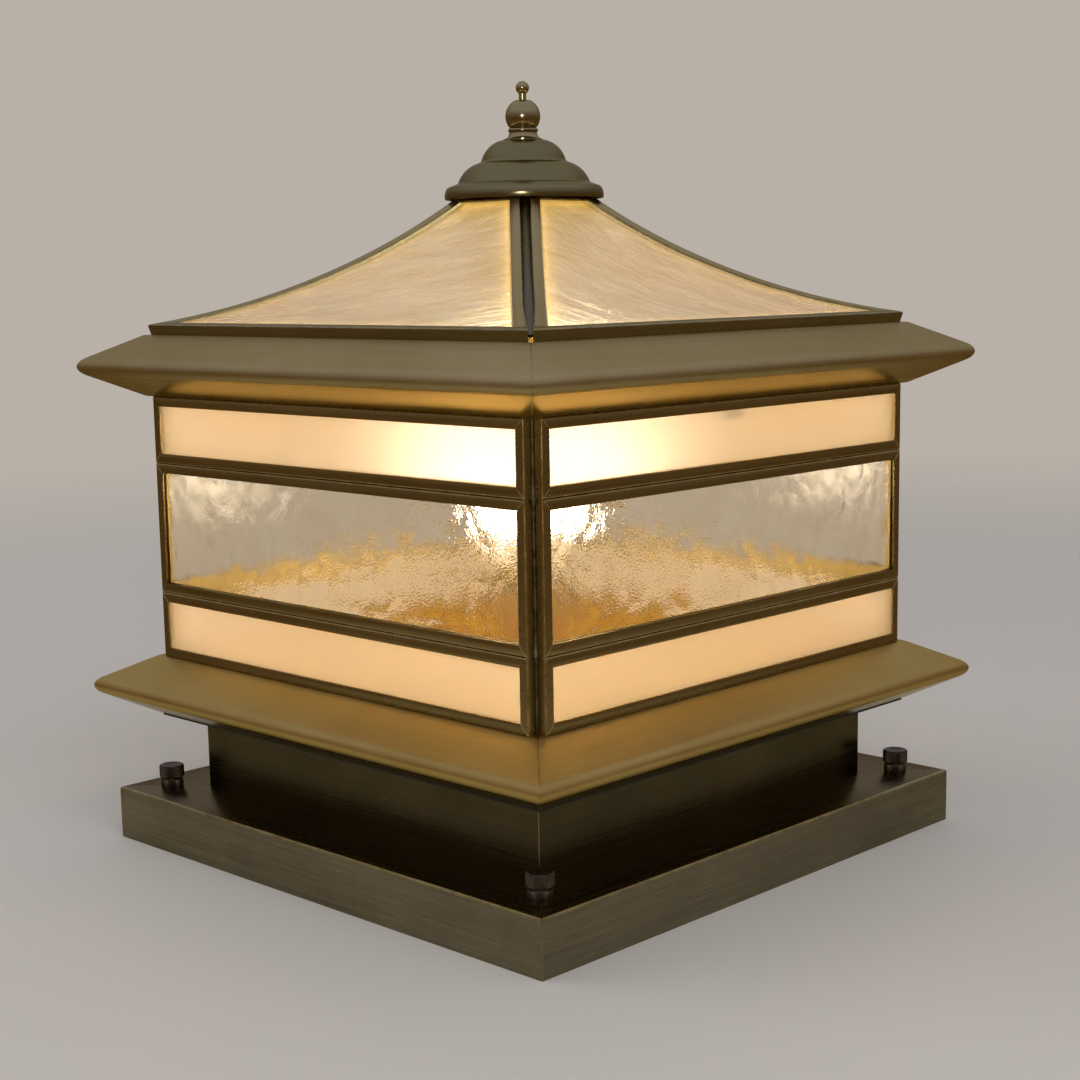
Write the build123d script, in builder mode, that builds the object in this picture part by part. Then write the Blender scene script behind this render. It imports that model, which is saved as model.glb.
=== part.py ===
from build123d import *

import os
from math import asin, atan2, cos, degrees, hypot, radians, sin, sqrt, tan

# Square post light of antique brass and glass, in millimetres.
# The origin is the middle of the plinth's underside, +Z is up and the front faces -Y.

os.makedirs("parts", exist_ok=True)

# Sheet work
sheet = 1.2
mitre_gap = 0.1

# Plinth, neck and floor plate
plinth_side = 300.0
plinth_height = 26.3
plinth_edge = 1.2
neck_side = 235.0
neck_height = 37.3
neck_landing = 6.0
floor_thickness = 1.0
floor_setback = 0.5
floor_hole = 16.0

# Mounting plate, studs, knurled nuts and cable grommet
plate_play = 1.8
plate_thickness = 2.5
anchor_spacing = 200.0
anchor_hole = 9.0
stud_inset = 19.0
stud_diameter = 6.0
stud_hole_play = 0.4
thread_play = 0.06
nut_head_diameter = 12.4
nut_head_height = 6.4
nut_waist_diameter = 9.8
nut_waist_height = 0.8
nut_collar_diameter = 11.2
nut_collar_height = 4.0
nut_edge = 0.6
nut_crown = 2.6
grommet_bore = 9.0
grommet_wall = 2.5
grommet_lip = 2.5
grommet_lip_height = 2.5
grommet_play = 0.1

# Walls: three framed panes on each side
body_side = 267.0
outer_band = 32.9
middle_band = 64.8
glass_thickness = 3.0
glass_play = 0.075
came_wall = 1.0
came_face = 4.8
came_round = 0.7
seam_radius = 1.3

# Eave moulding, the same below and above the walls
eave_height = 30.0
eave_reach = 23.0
eave_nose = 4.0
eave_flange = 9.0

# Roof: concave panes between the eave and the cap
roof_setback = 1.1
roof_top_side = 48.0
roof_rise = 60.0
roof_sag = 9.0
hip_gap = 4.8
hip_foot_gap = 1.8
hip_taper = 45.0
hip_strip_depth = 2.2
hip_strip_thickness = 1.2
hip_strip_setback = 0.6

# Spun cap
cap_diameter = 77.2
cap_seat = 0.1
cap_rim_height = 5.7
cap_rim_bulge = 1.3
cap_ledge_height = 1.9
lower_bell_diameter = 64.6
lower_bell_height = 9.8
upper_bell_diameter = 41.2
bell_step = 1.0
upper_bell_height = 9.4
bell_bulge = 0.13
cap_top_diameter = 23.0

# Finial and the rod that it screws on to
rod_diameter = 5.0
rod_hole_play = 0.3
finial_foot_diameter = 19.2
finial_foot_height = 0.7
finial_cove_diameter = 13.6
finial_cove_height = 3.1
finial_ring_diameter = 14.6
finial_ring_height = 2.2
finial_groove_height = 0.6
finial_ball_diameter = 17.0
finial_ball_below = 4.9
finial_ball_above = 7.6
finial_stem_diameter = 3.6
finial_stem_height = 3.2
finial_tip_diameter = 6.5
finial_bore_depth = 12.0
crossbar_drop = 1.2
crossbar_width = 14.0
crossbar_thickness = 2.0
crossbar_tab = 8.0
collar_diameter = 10.0
collar_height = 2.5

# Bulb, lampholder and its bracket
bulb_length = 108.0
bulb_diameter = 60.0
bulb_neck_diameter = 34.0
bulb_wall = 1.2
bulb_cap_diameter = 26.4
bulb_cap_height = 20.0
bulb_housing_height = 10.0
bulb_insulator_height = 4.0
bulb_contact_diameter = 9.0
bulb_contact_height = 2.0
bulb_headroom = 7.5
bulb_seat_play = 0.3
socket_play = 0.35
socket_depth = 24.0
holder_diameter = 40.0
holder_height = 44.0
holder_shoulder = 6.0
spigot_diameter = 10.0
spigot_length = 8.0
spigot_play = 0.2
bracket_width = 26.0
bracket_thickness = 2.0
bracket_top = 52.0
bracket_foot = 14.0

# Half sizes and heights that follow
plinth_half = plinth_side / 2
neck_half = neck_side / 2
body_half = body_side / 2
came_depth = glass_thickness + 2 * (glass_play + came_wall)
slot_width = glass_thickness + 2 * glass_play
pane_inset = came_wall + glass_play
wall_width = body_side - 2 * came_depth
stud_spacing = plinth_side - 2 * stud_inset
floor_base = plinth_height + neck_height
floor_top = floor_base + floor_thickness
body_base = floor_top + eave_height
body_height = 2 * outer_band + middle_band
body_top = body_base + body_height
roof_base = body_top + eave_height
lower_eave_base = floor_top
upper_eave_base = body_top
bands = {
    "lower": (body_base, outer_band),
    "middle": (body_base + outer_band, middle_band),
    "upper": (body_base + outer_band + middle_band, outer_band),
}
crossbar_top = body_top - crossbar_drop
bulb_top = crossbar_top - crossbar_thickness - collar_height - bulb_headroom
bulb_tip = bulb_top - bulb_length
holder_base = bulb_tip - bulb_seat_play + socket_depth - holder_height
rod_radius = rod_diameter / 2

# Each side's direction, as the turn from the front about +Z
side_names = ("front", "right", "back", "left")
sides = {side: 360 / len(side_names) * place for place, side in enumerate(side_names)}


def outward(turn):
    """Direction that a side faces."""
    return Vector(sin(radians(turn)), -cos(radians(turn)), 0)


def along(turn):
    """Direction along a side, to the right of someone who faces it."""
    return Vector(cos(radians(turn)), sin(radians(turn)), 0)


def section_plane(turn):
    """Upright plane across a side: its x is the distance out from the axis, its y the height."""
    return Plane(origin=(0, 0, 0), x_dir=outward(turn), z_dir=along(turn) * -1)


def face_plane(turn, height):
    """Plane of a wall's outer face, centred at a height."""
    centre = outward(turn) * body_half + Vector(0, 0, height)
    return Plane(origin=centre, x_dir=along(turn), z_dir=outward(turn))


def corner_plane(turn, margin):
    """Upright plane along the diagonal at the end of a side, moved towards that side by a margin."""
    normal = (along(turn) - outward(turn)) * (1 / sqrt(2))
    return Plane(origin=normal * -margin, z_dir=normal)


def far_corner_plane(turn, margin):
    """The same as corner_plane, at the side's other end."""
    normal = (along(turn) + outward(turn)) * (-1 / sqrt(2))
    return Plane(origin=normal * -margin, z_dir=normal)


def mitred_length(turn, draw_section, reach):
    """One length of a bent sheet along a side, cut to the mitres at both ends."""
    with BuildPart() as length:
        with BuildSketch(section_plane(turn)):
            with BuildLine():
                draw_section()
            make_face()
        extrude(amount=reach, both=True)
        split(bisect_by=corner_plane(turn, mitre_gap / 2), keep=Keep.BOTTOM)
        split(bisect_by=far_corner_plane(turn, mitre_gap / 2), keep=Keep.BOTTOM)
    return length.part


def keep_piece(piece, name):
    """Label a finished piece and write its file."""
    piece.label = name
    export_step(piece, f"parts/{name}.step")


# Mounting plate: square steel plate with anchor holes at its corners and the grommet's hole in the middle
plate_side = plinth_side - 2 * (sheet + plate_play)
grommet_sleeve_radius = grommet_bore / 2 + grommet_wall

with BuildPart() as mounting_plate:
    with BuildSketch():
        Rectangle(plate_side, plate_side)
        with GridLocations(anchor_spacing, anchor_spacing, 2, 2):
            Circle(anchor_hole / 2, mode=Mode.SUBTRACT)
        Circle(grommet_sleeve_radius + grommet_play, mode=Mode.SUBTRACT)
    extrude(amount=plate_thickness)
keep_piece(mounting_plate.part, "mounting_plate")

# Studs: they stand on the plate and reach through the plinth into the nuts
nut_height = nut_collar_height + nut_waist_height + nut_head_height
nut_bore_depth = nut_height - nut_crown
stud_top = plinth_height + nut_bore_depth - thread_play

with BuildPart() as mounting_studs:
    with BuildSketch(Plane.XY.offset(plate_thickness)):
        with GridLocations(stud_spacing, stud_spacing, 2, 2):
            Circle(stud_diameter / 2)
    extrude(amount=stud_top - plate_thickness)
keep_piece(mounting_studs.part, "mounting_studs")

# Cable grommet: sleeve in the plate with a lip on top of it
with BuildPart() as cable_grommet:
    with BuildSketch():
        Circle(grommet_sleeve_radius)
    extrude(amount=plate_thickness)
    with BuildSketch(Plane.XY.offset(plate_thickness)):
        Circle(grommet_sleeve_radius + grommet_lip)
    extrude(amount=grommet_lip_height)
    fillet(cable_grommet.edges().group_by(Axis.Z)[-1], grommet_lip_height / 2)
    with BuildSketch():
        Circle(grommet_bore / 2)
    extrude(amount=plate_thickness + grommet_lip_height, mode=Mode.SUBTRACT)
keep_piece(cable_grommet.part, "cable_grommet")

# Knurled nuts: a head over a waist and a collar, bored blind from below
nut_places = {
    "front_left": (-1, -1),
    "front_right": (1, -1),
    "back_right": (1, 1),
    "back_left": (-1, 1),
}
for place, (x_hand, y_hand) in nut_places.items():
    nut_foot = Plane((x_hand * stud_spacing / 2, y_hand * stud_spacing / 2, plinth_height))
    with BuildPart() as knurled_nut:
        with BuildSketch(nut_foot):
            Circle(nut_collar_diameter / 2)
        extrude(amount=nut_collar_height)
        with BuildSketch(nut_foot.offset(nut_collar_height)):
            Circle(nut_waist_diameter / 2)
        extrude(amount=nut_waist_height)
        with BuildSketch(nut_foot.offset(nut_collar_height + nut_waist_height)):
            Circle(nut_head_diameter / 2)
        extrude(amount=nut_head_height)
        chamfer(knurled_nut.edges().group_by(Axis.Z)[-1], nut_edge)
        with BuildSketch(nut_foot):
            Circle(stud_diameter / 2 + thread_play)
        extrude(amount=nut_bore_depth, mode=Mode.SUBTRACT)
    keep_piece(knurled_nut.part, f"knurled_nut_{place}")


def plinth_section():
    """Angle of sheet: a side, a worn round edge and a top that runs in under the neck."""
    landing = neck_half - sheet - neck_landing
    edge = CenterArc((plinth_half - plinth_edge, plinth_height - plinth_edge), plinth_edge, 0, 90)
    Polyline(
        edge @ 1,
        (landing, plinth_height),
        (landing, plinth_height - sheet),
        (plinth_half - sheet, plinth_height - sheet),
        (plinth_half - sheet, 0),
        (plinth_half, 0),
        edge @ 0,
    )


# Plinth: four mitred lengths of angle, with the studs' holes on the mitres
plinth_lengths = [mitred_length(turn, plinth_section, plinth_half) for turn in sides.values()]

with BuildPart() as plinth:
    add(plinth_lengths)
    with BuildSketch(Plane.XY.offset(plinth_height)):
        with GridLocations(stud_spacing, stud_spacing, 2, 2):
            Circle(stud_diameter / 2 + stud_hole_play)
    extrude(amount=-2 * sheet, mode=Mode.SUBTRACT)
keep_piece(plinth.part, "plinth")


def neck_section():
    """Upright plate from the plinth's top to the floor plate."""
    Polyline(
        (neck_half - sheet, plinth_height),
        (neck_half, plinth_height),
        (neck_half, floor_base),
        (neck_half - sheet, floor_base),
        close=True,
    )


# Neck: four plates soldered at the corners
neck_plates = [mitred_length(turn, neck_section, neck_half) for turn in sides.values()]

with BuildPart() as neck:
    add(neck_plates)
keep_piece(neck.part, "neck")

# Floor plate: closes the neck and carries the lower eave and the lampholder
with BuildPart() as floor_plate:
    with BuildSketch(Plane.XY.offset(floor_base)):
        Rectangle(body_side - 2 * floor_setback, body_side - 2 * floor_setback)
        Circle(floor_hole / 2, mode=Mode.SUBTRACT)
    extrude(amount=floor_thickness)
keep_piece(floor_plate.part, "floor_plate")

# Eave moulding: slope of the lines that run from the wall's face to touch the nose
nose_run = eave_reach - eave_nose
eave_slope = atan2(eave_height / 2, nose_run) - asin(eave_nose / hypot(eave_height / 2, nose_run))


def eave_bend(inset):
    """Bend, touching point and tip of the moulding's lower half, at a depth into its sheet."""
    nose = eave_nose - inset
    bend = Vector(body_half - inset * tan(eave_slope / 2), inset)
    touch = Vector(
        body_half + nose_run + nose * sin(eave_slope),
        eave_height / 2 - nose * cos(eave_slope),
    )
    tip = Vector(body_half + nose_run + nose, eave_height / 2)
    return bend, touch, tip


def eave_section(base):
    """Bent sheet at a height: flange, slope, round nose, slope back and flange."""

    def low(point):
        return (point.X, base + point.Y)

    def high(point):
        return (point.X, base + eave_height - point.Y)

    bend, touch, tip = eave_bend(0)
    inner_bend, inner_touch, inner_tip = eave_bend(sheet)
    rim = Vector(body_half - eave_flange, 0)
    inner_rim = Vector(body_half - eave_flange, sheet)
    Polyline(low(inner_touch), low(inner_bend), low(inner_rim), low(rim), low(bend), low(touch))
    ThreePointArc(low(touch), low(tip), high(touch))
    Polyline(high(touch), high(bend), high(rim), high(inner_rim), high(inner_bend), high(inner_touch))
    ThreePointArc(high(inner_touch), low(inner_tip), low(inner_touch))


def lower_eave_section():
    """The moulding between the floor plate and the walls."""
    eave_section(lower_eave_base)


def upper_eave_section():
    """The moulding between the walls and the roof."""
    eave_section(upper_eave_base)


for side, turn in sides.items():
    lower_eave = mitred_length(turn, lower_eave_section, body_half + eave_reach)
    keep_piece(lower_eave, f"lower_eave_{side}")
    upper_eave = mitred_length(turn, upper_eave_section, body_half + eave_reach)
    keep_piece(upper_eave, f"upper_eave_{side}")


def wall_frame(turn, base, height):
    """Four mitred lengths of U channel round one pane."""
    face = face_plane(turn, base + height / 2)
    outer_edge = Axis(face.origin, face.z_dir)
    with BuildPart() as frame:
        with BuildSketch(face):
            Rectangle(wall_width, height)
        extrude(amount=-came_depth)
        fillet(frame.faces().sort_by(outer_edge)[-1].edges(), came_round)
        with BuildSketch(face):
            Rectangle(wall_width - 2 * came_face, height - 2 * came_face)
        extrude(amount=-came_depth, mode=Mode.SUBTRACT)
        with BuildSketch(face.offset(-came_wall)):
            Rectangle(wall_width - 2 * came_wall, height - 2 * came_wall)
        extrude(amount=-slot_width, mode=Mode.SUBTRACT)
        with BuildSketch(face):
            for x_hand, y_hand in nut_places.values():
                with Locations((x_hand * wall_width / 2, y_hand * height / 2)):
                    Rectangle(4 * came_face, mitre_gap, rotation=45 * x_hand * y_hand)
        extrude(amount=-came_depth, mode=Mode.SUBTRACT)
    return frame.part


def wall_pane(turn, base, height):
    """Glass held in a frame's channel."""
    with BuildPart() as pane:
        with BuildSketch(face_plane(turn, base + height / 2).offset(-pane_inset)):
            Rectangle(wall_width - 2 * pane_inset, height - 2 * pane_inset)
        extrude(amount=-glass_thickness)
    return pane.part


for side, turn in sides.items():
    for band, (base, height) in bands.items():
        keep_piece(wall_frame(turn, base, height), f"{side}_{band}_frame")
        keep_piece(wall_pane(turn, base, height), f"{side}_{band}_pane")

# Corner seams: solder in the square notch where the back edges of two walls meet
notch_reach = (body_half - came_depth) * sqrt(2)

with BuildPart() as corner_seams:
    for turn in sides.values():
        diagonal = outward(turn + 45)
        with BuildSketch(Plane(diagonal * notch_reach + Vector(0, 0, body_base), diagonal, (0, 0, 1))):
            with BuildLine():
                bead = CenterArc((0, 0), seam_radius, -45, 90)
                Polyline(bead @ 1, (0, 0), bead @ 0)
            make_face()
    extrude(amount=body_height)
keep_piece(corner_seams.part, "corner_seams")

# Roof curve: an arc from the lower edge of a pane's frame up to its top edge, hollow to the sky
roof_half = body_half - roof_setback
roof_run = roof_half - roof_top_side / 2
roof_chord = hypot(roof_run, roof_rise)
roof_radius = (roof_chord**2 / 4 + roof_sag**2) / (2 * roof_sag)
roof_half_turn = asin(roof_chord / 2 / roof_radius)
roof_low_slope = atan2(roof_rise, roof_run) - roof_half_turn
roof_high_slope = atan2(roof_rise, roof_run) + roof_half_turn
roof_edge = roof_base + came_depth * cos(roof_low_slope)
roof_centre = Vector(
    roof_half + roof_radius * sin(roof_low_slope),
    roof_edge + roof_radius * cos(roof_low_slope),
)


def roof_height(reach):
    """Height of the roof's outer surface at a distance out from the axis, square to a side."""
    return roof_centre.Y - sqrt(roof_radius**2 - (roof_centre.X - reach) ** 2)


def roof_slab(turn, end_margin, hip_margin, depth, thickness):
    """Curved sheet of one roof side, with margins in from its ends and from the hips' diagonals."""
    end_turn = end_margin / roof_radius
    start = 270 - degrees(roof_low_slope + end_turn)
    span = -degrees(roof_high_slope - roof_low_slope - 2 * end_turn)
    with BuildPart() as slab:
        with BuildSketch(section_plane(turn)):
            with BuildLine():
                upper = CenterArc(roof_centre, roof_radius + depth, start, span)
                lower = CenterArc(roof_centre, roof_radius + depth + thickness, start, span)
                Line(upper @ 0, lower @ 0)
                Line(upper @ 1, lower @ 1)
            make_face()
        extrude(amount=body_half, both=True)
        split(bisect_by=corner_plane(turn, hip_margin), keep=Keep.BOTTOM)
        split(bisect_by=far_corner_plane(turn, hip_margin), keep=Keep.BOTTOM)
    return slab.part


def hip_groove(turn):
    """Upright space along the hip at the end of a side: even at first, then narrower towards the foot."""
    tip = roof_half * sqrt(2)
    taper_start = tip - hip_taper
    diagonal = (along(turn) + outward(turn)) * (1 / sqrt(2))
    with BuildPart() as groove:
        with BuildSketch(Plane(origin=(0, 0, roof_base), x_dir=diagonal, z_dir=(0, 0, 1))):
            with BuildLine():
                Polyline(
                    (0, hip_gap / 2),
                    (taper_start, hip_gap / 2),
                    (tip, hip_foot_gap / 2),
                    (tip, -hip_foot_gap / 2),
                    (taper_start, -hip_gap / 2),
                    (0, -hip_gap / 2),
                    close=True,
                )
            make_face()
        extrude(amount=roof_rise + came_depth)
    return groove.part


grooves = [hip_groove(turn) for turn in sides.values()]


def roof_blank(turn):
    """One roof side's frame before its window and its slot are cut."""
    with BuildPart() as blank:
        add(roof_slab(turn, 0, 0, 0, came_depth))
        add(grooves, mode=Mode.SUBTRACT)
    return blank.part


def roof_frame(turn):
    """Channel round one roof pane: a straight foot, two curved hips and a short head."""
    window = roof_slab(turn, came_face, hip_gap / 2 + came_face, 0, came_depth)
    slot = roof_slab(turn, came_wall, hip_gap / 2 + came_wall, came_wall, slot_width)
    with BuildPart() as frame:
        add(roof_blank(turn))
        add(window, mode=Mode.SUBTRACT)
        add(slot, mode=Mode.SUBTRACT)
    return frame.part


for side, turn in sides.items():
    keep_piece(roof_frame(turn), f"roof_frame_{side}")
    roof_pane = roof_slab(turn, pane_inset, hip_gap / 2 + pane_inset, pane_inset, glass_thickness)
    keep_piece(roof_pane, f"roof_pane_{side}")

# Hip strips: bent strips that close the grooves between the frames
strip_sheets = [
    roof_slab(turn, hip_strip_setback, 0, hip_strip_depth, hip_strip_thickness) for turn in sides.values()
]
frame_blanks = [roof_blank(turn) for turn in sides.values()]

with BuildPart() as hip_strips:
    add(strip_sheets)
    add(frame_blanks, mode=Mode.SUBTRACT)
keep_piece(hip_strips.part, "hip_strips")

# Spun cap: a rolled rim that sits on the hips, a ledge and two bells
cap_radius = cap_diameter / 2
cap_base = roof_height((cap_radius - sheet) / sqrt(2)) + cap_seat
ledge_base = cap_rim_height
lower_bell_base = ledge_base + cap_ledge_height
upper_bell_base = lower_bell_base + lower_bell_height + bell_step
cap_height = upper_bell_base + upper_bell_height
cap_top = cap_base + cap_height
rod_hole_radius = rod_radius + rod_hole_play


def bell_belly(foot, head):
    """Point that makes an arc between two points stand out as a bell."""
    return (foot + head) * 0.5 + Vector(head.Y - foot.Y, foot.X - head.X) * bell_bulge


def cap_body(wall):
    """Cap's shape, at a depth into its metal."""

    def point(radius, height):
        return Vector(radius - wall, cap_base + height - wall)

    rim_foot = Vector(cap_radius - wall, cap_base)
    rim_belly = point(cap_radius, cap_rim_height / 2)
    rim_head = point(cap_radius - cap_rim_bulge, ledge_base)
    lower_foot = point(lower_bell_diameter / 2, lower_bell_base)
    lower_head = point(upper_bell_diameter / 2 + bell_step, lower_bell_base + lower_bell_height)
    upper_foot = point(upper_bell_diameter / 2, upper_bell_base)
    upper_head = point(cap_top_diameter / 2, cap_height)
    with BuildPart() as body:
        with BuildSketch(Plane.XZ):
            with BuildLine():
                Line((0, cap_base), rim_foot)
                ThreePointArc(rim_foot, rim_belly + Vector(cap_rim_bulge / 4, 0), rim_head)
                Line(rim_head, lower_foot)
                ThreePointArc(lower_foot, bell_belly(lower_foot, lower_head), lower_head)
                Line(lower_head, upper_foot)
                ThreePointArc(upper_foot, bell_belly(upper_foot, upper_head), upper_head)
                Polyline(upper_head, (0, upper_head.Y), (0, cap_base))
            make_face()
        revolve(axis=Axis.Z)
    return body.part


cap_solid = cap_body(0)
cap_hollow = cap_body(sheet)

with BuildPart() as roof_cap:
    add(cap_solid)
    add(cap_hollow, mode=Mode.SUBTRACT)
    with BuildSketch(Plane.XY.offset(cap_top)):
        Circle(rod_hole_radius)
    extrude(amount=-cap_height, mode=Mode.SUBTRACT)
keep_piece(roof_cap.part, "roof_cap")

# Finial: turned nut with a foot, a cove, a ring, a ball cut off below and above, a stem and a tip
ring_base = cap_top + finial_foot_height + finial_cove_height
ring_neck = finial_ring_diameter / 2 - finial_ring_height / 2
ball_radius = finial_ball_diameter / 2
ball_centre = Vector(0, ring_base + finial_ring_height + finial_groove_height + finial_ball_below)
ball_top = ball_centre.Y + finial_ball_above
ball_start = -degrees(asin(finial_ball_below / ball_radius))
ball_end = degrees(asin(finial_ball_above / ball_radius))
tip_radius = finial_tip_diameter / 2
stem_radius = finial_stem_diameter / 2
tip_start = -degrees(asin(sqrt(tip_radius**2 - stem_radius**2) / tip_radius))
stem_top = ball_top + finial_stem_height
tip_centre = Vector(0, stem_top + sqrt(tip_radius**2 - stem_radius**2))

with BuildPart() as finial:
    with BuildSketch(Plane.XZ):
        with BuildLine():
            foot_top = Vector(finial_foot_diameter / 2, cap_top + finial_foot_height)
            cove_top = Vector(finial_cove_diameter / 2, ring_base)
            Polyline((0, cap_top), (finial_foot_diameter / 2, cap_top), foot_top)
            TangentArc(cove_top, foot_top, tangent=(0, -1))
            ring_foot = Vector(ring_neck, ring_base)
            Line(cove_top, ring_foot)
            ring_tip = Vector(finial_ring_diameter / 2, ring_base + finial_ring_height / 2)
            ring_head = Vector(ring_neck, ring_base + finial_ring_height)
            ThreePointArc(ring_foot, ring_tip, ring_head)
            ball = CenterArc(ball_centre, ball_radius, ball_start, ball_end - ball_start)
            Line(ring_head, ball @ 0)
            tip = CenterArc(tip_centre, tip_radius, tip_start, 90 - tip_start)
            Polyline(ball @ 1, (stem_radius, ball_top), tip @ 0)
            Polyline(tip @ 1, (0, cap_top))
        make_face()
    revolve(axis=Axis.Z)
    with BuildSketch(Plane.XY.offset(cap_top)):
        Circle(rod_radius + thread_play)
    extrude(amount=finial_bore_depth, mode=Mode.SUBTRACT)
keep_piece(finial.part, "finial")

# Crossbar: flat bar under the roof, its turned-down ends soldered inside the upper frames
crossbar_half = body_half - came_depth

with BuildPart() as crossbar:
    with BuildSketch(Plane.XZ):
        with BuildLine():
            Polyline(
                (0, crossbar_top),
                (crossbar_half, crossbar_top),
                (crossbar_half, crossbar_top - crossbar_tab),
                (crossbar_half - crossbar_thickness, crossbar_top - crossbar_tab),
                (crossbar_half - crossbar_thickness, crossbar_top - crossbar_thickness),
                (0, crossbar_top - crossbar_thickness),
            )
            mirror(about=Plane.YZ)
        make_face()
    extrude(amount=crossbar_width / 2, both=True)
    with BuildSketch(Plane.XY.offset(crossbar_top)):
        Circle(rod_radius + thread_play)
    extrude(amount=-crossbar_thickness, mode=Mode.SUBTRACT)
keep_piece(crossbar.part, "crossbar")

# Tie rod: from its collar under the crossbar up into the finial
rod_base = crossbar_top - crossbar_thickness - collar_height
rod_top = cap_top + finial_bore_depth - rod_hole_play

with BuildPart() as tie_rod:
    with BuildSketch(Plane.XY.offset(rod_base)):
        Circle(collar_diameter / 2)
    extrude(amount=collar_height)
    with BuildSketch(Plane.XY.offset(rod_base)):
        Circle(rod_radius)
    extrude(amount=rod_top - rod_base)
keep_piece(tie_rod.part, "tie_rod")

# Lampholder bracket: hat of strip on the floor plate, drilled for the lampholder's spigot
with BuildPart() as lampholder_bracket:
    with BuildSketch(Plane.XZ):
        with BuildLine():
            Polyline(
                (0, holder_base),
                (bracket_top / 2, holder_base),
                (bracket_top / 2, floor_top + bracket_thickness),
                (bracket_top / 2 + bracket_foot, floor_top + bracket_thickness),
                (bracket_top / 2 + bracket_foot, floor_top),
                (bracket_top / 2 - bracket_thickness, floor_top),
                (bracket_top / 2 - bracket_thickness, holder_base - bracket_thickness),
                (0, holder_base - bracket_thickness),
            )
            mirror(about=Plane.YZ)
        make_face()
    extrude(amount=bracket_width / 2, both=True)
    with BuildSketch(Plane.XY.offset(holder_base)):
        Circle(spigot_diameter / 2 + spigot_play)
    extrude(amount=-bracket_thickness, mode=Mode.SUBTRACT)
keep_piece(lampholder_bracket.part, "lampholder_bracket")

# Lampholder: shouldered body with the bulb's socket on top and a hollow spigot below
socket_radius = bulb_cap_diameter / 2 + socket_play
holder_top = holder_base + holder_height
spigot_bore = spigot_diameter / 4

with BuildPart() as lampholder:
    with BuildSketch(Plane.XY.offset(holder_base - spigot_length)):
        Circle(spigot_diameter / 2)
    extrude(amount=spigot_length)
    with BuildSketch(Plane.XY.offset(holder_base)):
        Circle(holder_diameter / 2)
    extrude(amount=holder_height)
    holder_rims = lampholder.edges().filter_by(GeomType.CIRCLE).filter_by(
        lambda edge: abs(edge.radius - holder_diameter / 2) < sheet
    )
    fillet(holder_rims.sort_by(Axis.Z)[0], holder_shoulder)
    fillet(holder_rims.sort_by(Axis.Z)[-1], sheet)
    with BuildSketch(Plane.XY.offset(holder_top)):
        Circle(socket_radius)
    extrude(amount=-socket_depth, mode=Mode.SUBTRACT)
    with BuildSketch(Plane.XY.offset(holder_base - spigot_length)):
        Circle(spigot_bore)
    extrude(amount=spigot_length + holder_shoulder, mode=Mode.SUBTRACT)
keep_piece(lampholder.part, "lampholder")

# Bulb: a pear-shaped glass globe on a housing and a screw cap
globe_radius = bulb_diameter / 2
globe_centre = Vector(0, bulb_top - globe_radius)
cap_shell_base = bulb_tip + bulb_contact_height + bulb_insulator_height
housing_base = cap_shell_base + bulb_cap_height
globe_base = housing_base + bulb_housing_height


def globe_touch(neck, radius):
    """Point where the line from the globe's neck touches its round part."""
    rise = globe_centre.Y - globe_base
    reach = hypot(neck, rise)
    lean = atan2(rise, -neck) - asin(radius / reach)
    run = sqrt(reach**2 - radius**2)
    return Vector(neck + run * cos(lean), globe_base + run * sin(lean))


with BuildPart() as bulb_globe:
    with BuildSketch(Plane.XZ):
        with BuildLine():
            neck_radius = bulb_neck_diameter / 2
            touch = globe_touch(neck_radius, globe_radius)
            inner_touch = globe_touch(neck_radius - bulb_wall, globe_radius - bulb_wall)
            crown = Vector(0, bulb_top)
            inner_crown = Vector(0, bulb_top - bulb_wall)
            Polyline(inner_touch, (neck_radius - bulb_wall, globe_base), (neck_radius, globe_base), touch)
            RadiusArc(touch, crown, -globe_radius)
            Line(crown, inner_crown)
            RadiusArc(inner_crown, inner_touch, globe_radius - bulb_wall)
        make_face()
    revolve(axis=Axis.Z)
keep_piece(bulb_globe.part, "bulb_globe")

with BuildPart() as bulb_cap:
    with BuildSketch(Plane.XZ):
        with BuildLine():
            contact_top = bulb_tip + bulb_contact_height
            Polyline(
                (0, bulb_tip),
                (bulb_contact_diameter / 2, bulb_tip),
                (bulb_contact_diameter / 2, contact_top),
                (bulb_cap_diameter / 2, cap_shell_base),
                (bulb_cap_diameter / 2, housing_base),
                (bulb_neck_diameter / 2, globe_base),
                (0, globe_base),
                close=True,
            )
        make_face()
    revolve(axis=Axis.Z)
keep_piece(bulb_cap.part, "bulb_cap")
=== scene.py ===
"""Looks of a square post light of antique brass and glass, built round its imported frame.

The classes hold their sizes in millimetres, and meshes are written in metres.
"""

import logging
import math
from collections.abc import Iterable, Sequence
from dataclasses import dataclass
from enum import Enum

import bmesh
import bpy
from bmesh.types import BMEdge, BMesh, BMVert
from mathutils import Matrix, Vector, noise


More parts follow.
